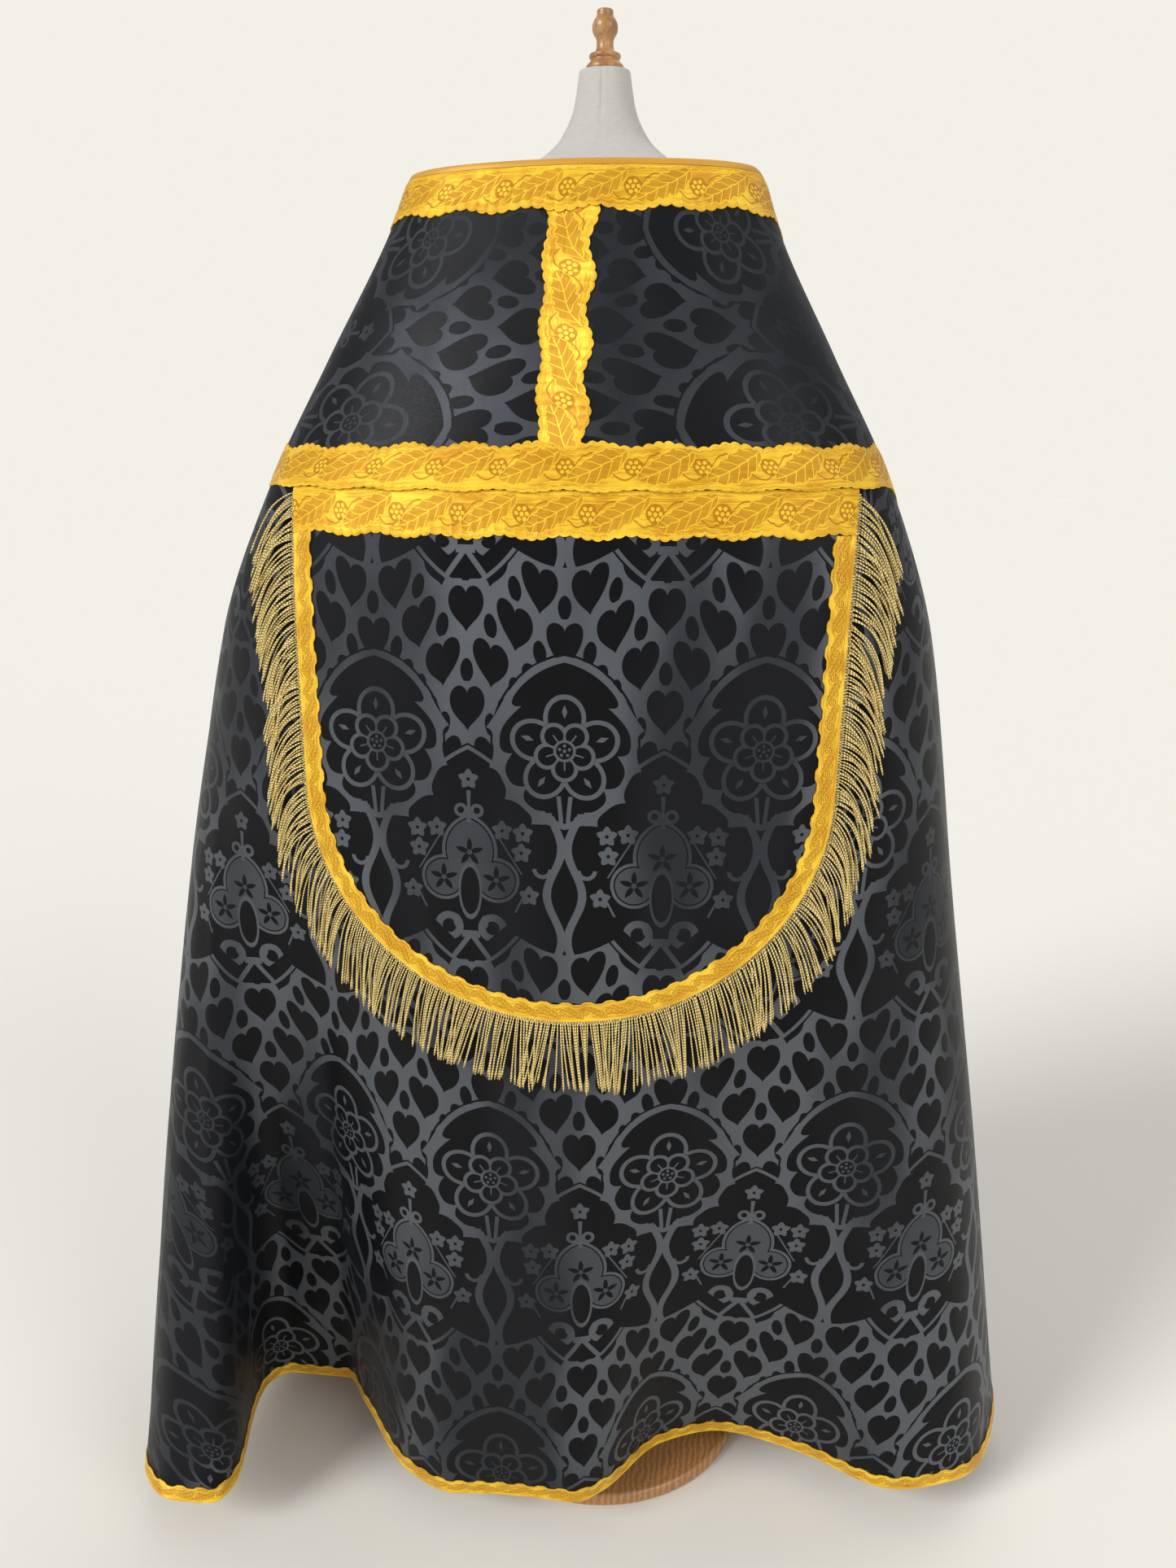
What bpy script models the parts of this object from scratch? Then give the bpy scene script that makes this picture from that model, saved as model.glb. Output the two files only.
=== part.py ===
"""A black damask cope worn by a limbless dress form. Metres, +Z up, standing on the floor at z = 0.

The back of the cope, with its hood, faces -Y. Every cloth piece comes from one worn surface, which is
known by two numbers: an angle round the body in degrees, 0 at the centre back and 180 at the centre front,
negative on the left, and a height. Half widths, depths and folds are in the tables below."""

import math

import bpy
import numpy as np

# Driving sizes of the cope
NECK_HEIGHT = 1.580
SEAM_HEIGHT = 1.266
MORSE_HEIGHT = 1.350
HEM_HEIGHT = 0.060
CLOTH = 0.0020
TRIM = 0.0010
SEAM_GAP = 0.0005
LAY_GAP = 0.0004
WIDE_GALLOON = 0.046
NARROW_GALLOON = 0.021
HEM_GALLOON = 0.017
BINDING = 0.008
GALLOON_WAVE = 0.0025
HOOD_TOP_WIDTH = 0.294
HOOD_LOW_WIDTH = 0.284
HOOD_STRAIGHT = 0.310
HOOD_ROUND = 0.252
HOOD_TUCK = 0.005
HOOD_CLOTH = 0.0016
HOOD_OUT = 0.0035
HOOD_LIFT = 0.0065
HOOD_CORNER = 0.012
FRINGE_LENGTH = 0.080
FRINGE_STRANDS = 132
STRAND = 0.0022
FRINGE_HEADING = 0.0055
FRINGE_OUT = 0.0026
STRAND_LIFT = 0.0034
STRAND_DROOP = 0.45
MORSE_OUT = 0.0022
FRONT_GAP_TOP = 0.004
FRONT_GAP_HEM = 0.040

# How the folds grow downwards: 1 would be straight
FOLD_GROWTH = 1.3

# Driving sizes of the dress form
FORM_SHIFT = 0.018
BASE_RADIUS = 0.190
POLE_RADIUS = 0.016

# The smooth worn shape, without folds
SECTION_NAMES = ("height", "left", "right", "back", "front", "squareness")
SECTIONS = (
    (1.600, 0.185, 0.184, 0.105, 0.040, 3.4),
    (1.528, 0.214, 0.208, 0.135, 0.070, 3.4),
    (1.400, 0.284, 0.272, 0.185, 0.130, 3.3),
    (1.270, 0.356, 0.338, 0.216, 0.168, 3.2),
    (1.100, 0.430, 0.395, 0.228, 0.200, 2.9),
    (0.800, 0.491, 0.439, 0.240, 0.240, 2.6),
    (0.490, 0.518, 0.483, 0.250, 0.270, 2.5),
    (0.060, 0.534, 0.534, 0.258, 0.295, 2.4),
)

# The hem as it hangs in its folds, and the height where the fold at each place dies out
HEM_LINE_NAMES = ("angle", "across", "forward", "top")
HEM_LINE = (
    (-180.0, 0.000, 0.285, 1.00),
    (-176.0, -0.040, 0.285, 1.00),
    (-163.0, -0.160, 0.3015, 1.00),
    (-144.0, -0.305, 0.222, 1.00),
    (-130.0, -0.420, 0.232, 1.00),
    (-119.0, -0.490, 0.165, 1.05),
    (-103.0, -0.490, 0.025, 1.05),
    (-90.0, -0.5472, -0.085, 1.00),
    (-76.0, -0.532, -0.251, 0.98),
    (-68.0, -0.475, -0.302, 0.98),
    (-62.5, -0.425, -0.299, 0.98),
    (-58.0, -0.409, -0.257, 0.98),
    (-46.5, -0.428, -0.108, 0.98),
    (-42.5, -0.404, -0.074, 0.98),
    (-36.0, -0.325, -0.070, 0.98),
    (-31.0, -0.285, -0.117, 0.96),
    (-21.0, -0.197, -0.221, 0.92),
    (-14.0, -0.130, -0.252, 0.86),
    (0.0, 0.008, -0.243, 0.80),
    (6.0, 0.045, -0.217, 0.76),
    (15.0, 0.110, -0.137, 0.74),
    (23.0, 0.189, -0.105, 0.74),
    (33.5, 0.287, -0.134, 0.80),
    (48.0, 0.405, -0.168, 0.90),
    (60.0, 0.482, -0.150, 0.95),
    (78.0, 0.542, -0.065, 1.00),
    (90.0, 0.5470, 0.020, 1.00),
    (107.0, 0.495, 0.118, 1.08),
    (126.0, 0.437, 0.245, 1.08),
    (144.0, 0.305, 0.238, 1.00),
    (163.0, 0.160, 0.3015, 1.00),
    (176.0, 0.040, 0.285, 1.00),
    (180.0, 0.000, 0.285, 1.00),
)

# The neck edge, from the centre back round to the point of the V at the centre front
NECK_LINE_NAMES = ("angle", "height")
NECK_LINE = (
    (0.0, 1.580),
    (70.0, 1.578),
    (88.0, 1.566),
    (120.0, 1.500),
    (150.0, 1.420),
    (170.0, 1.368),
    (180.0, 1.350),
)

# The outer edge of the orphrey, from the corner on the shoulder down the front
ORPHREY_EDGE_NAMES = ("height", "angle")
ORPHREY_EDGE = (
    (1.266, 80.0),
    (1.240, 92.0),
    (1.190, 106.0),
    (1.110, 119.0),
    (0.900, 131.0),
    (0.500, 139.0),
    (0.060, 144.0),
)

# The dress form's torso
FORM_NAMES = ("height", "half_width", "half_depth", "forward")
FORM_SECTIONS = (
    (1.690, 0.027, 0.027, 0.000),
    (1.655, 0.033, 0.033, 0.000),
    (1.625, 0.047, 0.043, 0.000),
    (1.603, 0.070, 0.055, -0.004),
    (1.585, 0.108, 0.066, -0.010),
    (1.565, 0.151, 0.074, -0.014),
    (1.540, 0.182, 0.080, -0.014),
    (1.500, 0.1925, 0.090, -0.010),
    (1.400, 0.180, 0.108, 0.004),
    (1.280, 0.170, 0.118, 0.010),
    (1.130, 0.150, 0.104, 0.006),
    (0.960, 0.172, 0.112, 0.000),
    (0.860, 0.166, 0.108, 0.000),
    (0.835, 0.150, 0.095, 0.000),
)

# The turned finial, from its foot to its top
FINIAL_NAMES = ("height", "radius")
FINIAL = (
    (1.6903, 0.0200),
    (1.6960, 0.0200),
    (1.7010, 0.0155),
    (1.7035, 0.0165),
    (1.7075, 0.0165),
    (1.7100, 0.0105),
    (1.7180, 0.0090),
    (1.7230, 0.0100),
    (1.7290, 0.0130),
    (1.7345, 0.0133),
    (1.7400, 0.0120),
    (1.7440, 0.0085),
    (1.7500, 0.0082),
)

# Mesh fineness
BACK_COLUMNS = 46
GORE_COLUMNS = 12
BACK_STATIONS = 8
SHOULDER_STATIONS = 6
FRONT_STATIONS = 8
FRONT_PARTS = 4
HOOD_ROWS = 8
HOOD_ROUND_STEPS = 10


def column(table, names, name):
    return np.array([row[names.index(name)] for row in table], float)


def smooth_read(x, knots, values):
    """Reads a table with soft corners: a cubic through its rows whose slopes never overshoot."""
    order = np.argsort(knots)
    knots, values = knots[order], values[order]
    steps = np.diff(values) / np.diff(knots)
    slopes = np.zeros(len(knots))
    slopes[0], slopes[-1] = steps[0], steps[-1]
    same_way = steps[:-1] * steps[1:] > 0
    together = np.where(same_way, steps[:-1] + steps[1:], 1.0)
    slopes[1:-1] = np.where(same_way, 2 * steps[:-1] * steps[1:] / together, 0.0)
    x = np.clip(np.asarray(x, float), knots[0], knots[-1])
    cell = np.clip(np.searchsorted(knots, x) - 1, 0, len(knots) - 2)
    width = knots[cell + 1] - knots[cell]
    u = (x - knots[cell]) / width
    return (
        values[cell] * (1 + 2 * u) * (1 - u) ** 2
        + slopes[cell] * width * u * (1 - u) ** 2
        + values[cell + 1] * u * u * (3 - 2 * u)
        - slopes[cell + 1] * width * u * u * (1 - u)
    )


def section(height, name):
    return smooth_read(height, column(SECTIONS, SECTION_NAMES, "height"), column(SECTIONS, SECTION_NAMES, name))


def soft_step(u):
    u = np.clip(u, 0.0, 1.0)
    return u * u * (3 - 2 * u)


def smooth_shape(angle, height):
    """The worn shape without folds, as points."""
    height = np.zeros_like(np.asarray(height, float)) + height
    turn = np.radians(angle)
    side = np.where(np.sin(turn) < 0, section(height, "left"), section(height, "right"))
    rounding = np.abs(np.cos(turn)) ** (2 / section(height, "squareness"))
    depth = np.where(np.cos(turn) > 0, -section(height, "back"), section(height, "front"))
    return np.stack([side * np.sin(turn), depth * rounding, height + 0 * turn], axis=-1)


def outward(shape, angle, height):
    """The unit normal of a shape that takes an angle and a height."""
    turn_step, height_step = 0.4, 0.004
    round_body = shape(angle + turn_step, height) - shape(angle - turn_step, height)
    up_body = shape(angle, height + height_step) - shape(angle, height - height_step)
    normal = np.cross(round_body, up_body)
    return normal / np.linalg.norm(normal, axis=-1, keepdims=True)


def hem_line(angle, name):
    return smooth_read(angle, column(HEM_LINE, HEM_LINE_NAMES, "angle"), column(HEM_LINE, HEM_LINE_NAMES, name))


def worn_shape(angle, height):
    """The worn shape with its folds, which grow from nothing at their tops to the hem line."""
    level = np.zeros_like(np.asarray(height, float)) + height
    top = hem_line(angle, "top")
    grown = np.clip((top - level) / (top - HEM_HEIGHT), 0.0, 1.0) ** FOLD_GROWTH
    hem = np.stack([hem_line(angle, "across"), hem_line(angle, "forward")], axis=-1)
    points = smooth_shape(angle, level)
    points[..., :2] += (hem - smooth_shape(angle, HEM_HEIGHT)[..., :2]) * grown[..., None]
    return points


def material(name, colour, roughness, metallic=0.0):
    made = bpy.data.materials.new(name)
    made.use_nodes = True
    shader = made.node_tree.nodes["Principled BSDF"]
    shader.inputs["Base Color"].default_value = (*colour, 1.0)
    shader.inputs["Roughness"].default_value = roughness
    shader.inputs["Metallic"].default_value = metallic
    return made


def add_object(name, points, faces, finish):
    mesh = bpy.data.meshes.new(name)
    mesh.from_pydata([tuple(point) for point in points], [], faces)
    mesh.materials.append(finish)
    mesh.shade_smooth()
    mesh.set_sharp_from_angle(angle=math.radians(50))
    made = bpy.data.objects.new(name, mesh)
    collection.objects.link(made)
    return made


def add_cloth(name, grid, cells, low, high, finish, turned=False):
    """Cloth over some cells of a grid, between two distances out from it, closed round its edges.

    A grid is a pair of arrays, points and outward normals. Rows run left to right and columns downwards,
    seen from outside, or the other way where turned is true."""
    points, normals = grid
    rows, cols = points.shape[:2]
    triangles = []
    for i, j in zip(*np.nonzero(cells)):
        a, b, c, d = i * cols + j, i * cols + j + 1, (i + 1) * cols + j + 1, (i + 1) * cols + j
        triangles += [(a, b, c), (a, c, d)]
    if turned:
        triangles = [triangle[::-1] for triangle in triangles]
    used = sorted({corner for triangle in triangles for corner in triangle})
    place = {corner: k for k, corner in enumerate(used)}
    count = len(used)
    outer = points + normals * (np.zeros((rows, cols)) + high)[..., None]
    inner = points + normals * (np.zeros((rows, cols)) + low)[..., None]
    corners = np.concatenate([outer.reshape(-1, 3)[used], inner.reshape(-1, 3)[used]])
    faces, edges = [], set()
    for triangle in triangles:
        a, b, c = (place[corner] for corner in triangle)
        faces += [(a, b, c), (c + count, b + count, a + count)]
        edges |= {(a, b), (b, c), (c, a)}
    for a, b in sorted(edges):
        if (b, a) not in edges:
            faces += [(b, a, a + count), (b, a + count, b + count)]
    return add_object(name, corners, faces, finish)


def parted(grid, first, last, axis):
    """A slice of a grid, pulled back by half a seam gap where it meets its neighbours."""
    points, normals = (np.moveaxis(part, axis, 0)[first : last + 1].copy() for part in grid)
    total = grid[0].shape[axis] - 1
    for at, next_to, meets in ((0, 1, first > 0), (-1, -2, last < total)):
        if meets:
            edge = points[at] - points[next_to]
            points[at] -= SEAM_GAP / 2 * edge / np.linalg.norm(edge, axis=-1, keepdims=True)
    return np.moveaxis(points, 0, axis), np.moveaxis(normals, 0, axis)


def every_cell(grid):
    return np.ones((grid[0].shape[0] - 1, grid[0].shape[1] - 1), bool)


def front_edge_angle(height):
    """Where the front edges hang, which part a little towards the hem."""
    down = np.clip((MORSE_HEIGHT - height) / (MORSE_HEIGHT - HEM_HEIGHT), 0, 1)
    gap = FRONT_GAP_TOP + (FRONT_GAP_HEM - FRONT_GAP_TOP) * down
    return 180 - np.degrees(np.arcsin(gap / section(height, "right")))


def orphrey_edge_angle(height):
    return smooth_read(
        height,
        column(ORPHREY_EDGE, ORPHREY_EDGE_NAMES, "height"),
        column(ORPHREY_EDGE, ORPHREY_EDGE_NAMES, "angle"),
    )


def neck_height(angle):
    return smooth_read(
        angle, column(NECK_LINE, NECK_LINE_NAMES, "angle"), column(NECK_LINE, NECK_LINE_NAMES, "height")
    )


def orphrey_lines():
    """The inner and outer edge of the right orphrey as angles and heights, station by station.

    The first station is the centre back, the next one the edge of the centre galloon, and BACK_STATIONS
    later comes the corner where the strip turns over the shoulder."""
    corner_neck, corner_seam = 72.0, float(orphrey_edge_angle(SEAM_HEIGHT))
    half = WIDE_GALLOON / 2
    first_neck = math.degrees(math.asin(half / float(section(NECK_HEIGHT, "right"))))
    first_seam = math.degrees(math.asin(half / float(section(SEAM_HEIGHT, "right"))))
    shoulder_end = 1.110
    share = np.linspace(0, 1, BACK_STATIONS)
    over = np.linspace(0, 1, SHOULDER_STATIONS + 1)[1:]
    down = np.linspace(0, 1, FRONT_STATIONS + 1)[1:]
    neck_back = np.concatenate([[0], first_neck + (corner_neck - first_neck) * share])
    seam_back = np.concatenate([[0], first_seam + (corner_seam - first_seam) * share])
    neck_angle = np.concatenate([neck_back, corner_neck + (179.2 - corner_neck) * over])
    front = MORSE_HEIGHT + (HEM_HEIGHT - MORSE_HEIGHT) * down
    seam = np.concatenate(
        [
            np.full(BACK_STATIONS + 1, SEAM_HEIGHT),
            SEAM_HEIGHT + (shoulder_end - SEAM_HEIGHT) * over**1.15,
            shoulder_end + (HEM_HEIGHT - shoulder_end) * down,
        ]
    )
    return (
        np.concatenate([neck_angle, front_edge_angle(front)]),
        np.concatenate([neck_height(neck_angle), front]),
        np.concatenate([seam_back, orphrey_edge_angle(seam[BACK_STATIONS + 1 :])]),
        seam,
    )


def station_places():
    """The stations of the strip's mesh: the front is parted finer, and has one station over the hem's trim."""
    coarse = BACK_STATIONS + SHOULDER_STATIONS
    last = coarse + FRONT_STATIONS
    front = np.linspace(coarse, last, FRONT_STATIONS * FRONT_PARTS + 1)[1:]
    return np.concatenate([np.arange(coarse + 1.0), front[:-1], [hem_row(last)], front[-1:]])


def hem_row(last):
    """The station where the hem's trim has its upper edge."""
    return last - HEM_GALLOON / ((MORSE_HEIGHT - HEM_HEIGHT) / FRONT_STATIONS)


def make_orphrey_grid():
    """The whole orphrey strip: rows run from the left front hem round the back to the right front hem.

    Its columns are the inner edge, the neck galloon's edge, two between, the outer galloon's edge and the
    outer edge. The galloons' edges go in and out from station to station."""
    coarse = orphrey_lines()
    known = np.arange(len(coarse[0]))
    places = station_places()
    neck_angle, neck, seam_angle, seam = (np.interp(places, known, values) for values in coarse)
    inner, outer = worn_shape(neck_angle, neck), worn_shape(seam_angle, seam)
    width = np.linalg.norm(outer - inner, axis=-1)
    wave = GALLOON_WAVE * (-1.0) ** np.arange(len(places))
    first = (WIDE_GALLOON + wave) / width
    last = 1 - (WIDE_GALLOON - wave) / width
    share = np.stack([0 * first, first, first + (last - first) / 3, first + (last - first) * 2 / 3, last, 1 + 0 * last], 1)
    angle = neck_angle[:, None] * (1 - share) + seam_angle[:, None] * share
    height = neck[:, None] * (1 - share) + seam[:, None] * share
    halves = []
    for side in (-1, 1):
        points = worn_shape(side * angle, height)
        normals = outward(worn_shape, side * angle, height)
        for k in range(3):
            points[:, -1, k] = np.interp(places, known, worn_shape(side * coarse[2], coarse[3])[:, k])
            normals[:, -1, k] = np.interp(places, known, outward(worn_shape, side * coarse[2], coarse[3])[:, k])
        halves.append((points, normals))
    return tuple(np.concatenate([halves[0][k][:0:-1], halves[1][k]]) for k in (0, 1))


def make_body_grid():
    """The body below the orphrey: rows run down from the seam, columns from the left gore to the right."""
    seam_angle, level = (values[BACK_STATIONS:] for values in orphrey_lines()[2:])
    panel = 64.0 + 11.0 * (SEAM_HEIGHT - level) / (SEAM_HEIGHT - HEM_HEIGHT)
    gore = np.linspace(0, 1, GORE_COLUMNS + 1)[None, 1:]
    right = panel[:, None] + (seam_angle - panel)[:, None] * gore
    back = panel[:, None] * np.linspace(-1, 1, BACK_COLUMNS + 1)[None, :]
    angle = np.concatenate([-right[:, ::-1], back, right], axis=1)
    height = level[:, None] + 0 * angle
    points, normals = worn_shape(angle, height), outward(worn_shape, angle, height)
    for end, next_to in ((-1, -2), (0, 1)):
        edge = points[1:, end] - points[1:, next_to]
        points[1:, end] -= SEAM_GAP * edge / np.linalg.norm(edge, axis=-1, keepdims=True)
    points[0, :, 2] -= SEAM_GAP
    share = hem_row(0.0) + 1
    between = tuple(part[-2] * (1 - share) + part[-1] * share for part in (points, normals))
    return tuple(np.insert(part, -1, line, axis=0) for part, line in zip((points, normals), between))


def add_body(grid, damask):
    last = grid[0].shape[1] - 1
    for name, start, end in (
        ("gore_left", 0, GORE_COLUMNS),
        ("body_back", GORE_COLUMNS, last - GORE_COLUMNS),
        ("gore_right", last - GORE_COLUMNS, last),
    ):
        piece = parted(grid, start, end, 1)
        add_cloth(name, piece, every_cell(piece), -CLOTH, 0.0, damask, True)


def add_orphreys(grid, damask):
    centre = grid[0].shape[0] // 2
    for name, start, end in (("orphrey_left", 0, centre), ("orphrey_right", centre, 2 * centre)):
        piece = parted(grid, start, end, 0)
        add_cloth(name, piece, every_cell(piece), -CLOTH, 0.0, damask)


def add_strip_galloons(grid, gold):
    """The neck galloon and the orphrey galloon lie on the strip's first and last columns, and the centre one
    between them. The orphrey galloon's lower edge stands off where the hood is tucked under it."""
    points = grid[0]
    rows = points.shape[0]
    centre = rows // 2
    cells = every_cell(grid)
    neck = np.zeros_like(cells)
    neck[:, 0] = True
    add_cloth("galloon_neck", grid, neck, LAY_GAP, LAY_GAP + TRIM, gold)
    orphrey = np.zeros_like(cells)
    orphrey[:, -1] = True
    over_hood = soft_step((HOOD_TOP_WIDTH + 0.067 - np.abs(points[..., 0])) / 0.025) * (points[..., 1] < 0)
    lift = np.zeros(points.shape[:2])
    lift[:, -1] = HOOD_LIFT * over_hood[:, -1]
    add_cloth("galloon_orphrey", grid, orphrey, LAY_GAP + lift, LAY_GAP + TRIM + lift, gold)
    middle = parted(grid, 1, points.shape[1] - 2, 1)
    upright = np.zeros((rows - 1, middle[0].shape[1] - 1), bool)
    upright[centre - 1 : centre + 1] = True
    add_cloth("galloon_centre", middle, upright, LAY_GAP, LAY_GAP + TRIM, gold)


def add_hem_galloons(strip, body, gold):
    """The narrow galloon along the hem, between the wide ones that run down to it."""
    low = parted(body, body[0].shape[0] - 2, body[0].shape[0] - 1, 0)
    low[0][0] = body[0][-2]
    add_cloth("galloon_hem", low, every_cell(low), LAY_GAP, LAY_GAP + TRIM, gold, True)
    middle = parted(strip, 1, strip[0].shape[1] - 2, 1)
    for name, row in (("galloon_hem_left", 0), ("galloon_hem_right", strip[0].shape[0] - 2)):
        cells = every_cell(middle)
        cells[:] = False
        cells[row] = True
        add_cloth(name, middle, cells, LAY_GAP, LAY_GAP + TRIM, gold)


def add_binding(strip, satin):
    """The satin edge that stands above the cloth round the neck, from morse to morse."""
    points, normals = strip
    centre = points.shape[0] // 2
    reach = BACK_STATIONS + SHOULDER_STATIONS - 1
    around = slice(centre - reach, centre + reach + 1)
    edge = points[around, 0]
    away = edge - points[around, 1]
    away /= np.linalg.norm(away, axis=-1, keepdims=True)
    grid = (
        np.stack([edge + away * BINDING, edge + away * 2 * SEAM_GAP], axis=1),
        np.stack([normals[around, 0], normals[around, 0]], axis=1),
    )
    add_cloth("binding_neck", grid, every_cell(grid), -CLOTH, 0.0, satin)


def back_angle(across, height):
    """The angle at which the back of the smooth shape is this far across."""
    side = np.where(across < 0, section(height, "left"), section(height, "right"))
    return np.degrees(np.arcsin(np.clip(across / side, -0.995, 0.995)))


def on_back(across, height):
    """Points and normals of the smooth back."""
    angle = back_angle(across, height)
    return smooth_shape(angle, height), outward(smooth_shape, angle, height)


def hood_half_width(height):
    """Half the hood's width above its round, where it widens a little upwards."""
    return np.interp(height, [SEAM_HEIGHT - HOOD_STRAIGHT, SEAM_HEIGHT], [HOOD_LOW_WIDTH, HOOD_TOP_WIDTH])


def hood_ring(inset):
    """Half the hood's round, from its bottom to its right end, as places across and heights, moved in by inset."""
    turn = np.radians(np.linspace(0, 90, HOOD_ROUND_STEPS + 1))
    across = HOOD_LOW_WIDTH * np.sin(turn)
    height = SEAM_HEIGHT - HOOD_STRAIGHT - HOOD_ROUND * np.cos(turn)
    lean = np.arctan2(HOOD_ROUND * np.sin(turn), HOOD_LOW_WIDTH * np.cos(turn))
    return across - inset * np.sin(lean), height + inset * np.cos(lean)


def make_hood_grid():
    """The hood's rows run down and its columns from left to right. Its last ring of cells carries the narrow
    galloon, and its second row of cells the wide one."""
    below = SEAM_HEIGHT - SEAM_GAP
    outer, inner = hood_ring(0.0), hood_ring(NARROW_GALLOON)
    shares = np.linspace(0, 1, HOOD_ROWS + 1)
    last = HOOD_ROUND_STEPS
    columns = []
    for k in range(last + 1):
        across, foot = inner[0][k], inner[1][k]
        if k == last - 1:
            foot = inner[1][last]
        band = below - WIDE_GALLOON + GALLOON_WAVE * (-1.0) ** k
        heights = np.concatenate([[SEAM_HEIGHT + HOOD_TUCK, below], band + (foot - band) * shares])
        if k >= last - 1:
            across = hood_half_width(heights) - NARROW_GALLOON * (last - k)
        cells = np.stack([across + 0 * heights, heights], axis=-1)
        columns.append(np.concatenate([cells, [(outer[0][k], outer[1][k])]]))
    right = np.array(columns)
    right[last, -2, 1] += HOOD_CORNER
    left = right[:0:-1] * np.array([-1.0, 1.0])
    flat = np.concatenate([left, right])
    points, normals = on_back(flat[..., 0], flat[..., 1])
    return (points + normals * HOOD_OUT).transpose(1, 0, 2), normals.transpose(1, 0, 2)


def add_hood(damask, gold):
    grid = make_hood_grid()
    add_cloth("hood", grid, every_cell(grid), -HOOD_CLOTH, 0.0, damask, True)
    top = np.zeros_like(every_cell(grid))
    top[1] = True
    add_cloth("galloon_hood_top", grid, top, LAY_GAP, LAY_GAP + TRIM, gold, True)
    below = parted(grid, 2, grid[0].shape[0] - 1, 0)
    ring = np.zeros_like(every_cell(below))
    ring[:, 0] = ring[:, -1] = ring[-1, :] = True
    add_cloth("galloon_hood_edge", below, ring, LAY_GAP, LAY_GAP + TRIM, gold, True)


def hood_outline(share, beyond):
    """Places this far beyond the hood's U-shaped edge, from the top left round to the top right, and the
    direction outwards there."""
    turn = np.radians(np.linspace(-90, 90, 8 * HOOD_ROUND_STEPS + 1))
    low = SEAM_HEIGHT - HOOD_STRAIGHT
    line = np.concatenate(
        [
            [(-HOOD_TOP_WIDTH, SEAM_HEIGHT)],
            np.stack([HOOD_LOW_WIDTH * np.sin(turn), low - HOOD_ROUND * np.cos(turn)], axis=-1),
            [(HOOD_TOP_WIDTH, SEAM_HEIGHT)],
        ]
    )
    length = np.concatenate([[0], np.cumsum(np.linalg.norm(np.diff(line, axis=0), axis=-1))])
    wanted = np.asarray(share) * length[-1]
    step = 0.002
    point, ahead, behind = (
        np.stack([np.interp(wanted + off, length, line[:, k]) for k in (0, 1)], axis=-1) for off in (0, step, -step)
    )
    along = ahead - behind
    along /= np.linalg.norm(along, axis=-1, keepdims=True)
    away = np.stack([along[..., 1], -along[..., 0]], axis=-1)
    return point + away * beyond, away


def strand_path(angle, height, away, lift, steps):
    """A strand's centre line: it leaves the heading along away, and its weight turns it down."""
    path = []
    heading = math.degrees(math.atan2(-away[1], abs(away[0])))
    side = 1.0 if away[0] >= 0 else -1.0
    piece = FRINGE_LENGTH / steps
    for step in range(steps + 1):
        share = step / steps
        path.append((angle, height, FRINGE_OUT + lift * min(1.0, 3 * share)))
        dip = math.radians(heading + (84 - heading) * min(1.0, 1.25 * (share + 0.5 / steps)) ** STRAND_DROOP)
        width = np.linalg.norm(smooth_shape(angle + 0.5, height) - smooth_shape(angle - 0.5, height))
        angle += side * piece * math.cos(dip) / width
        height -= piece * math.sin(dip)
    angles, heights, outs = (np.array(values) for values in zip(*path))
    return smooth_shape(angles, heights) + outward(smooth_shape, angles, heights) * outs[:, None]


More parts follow.
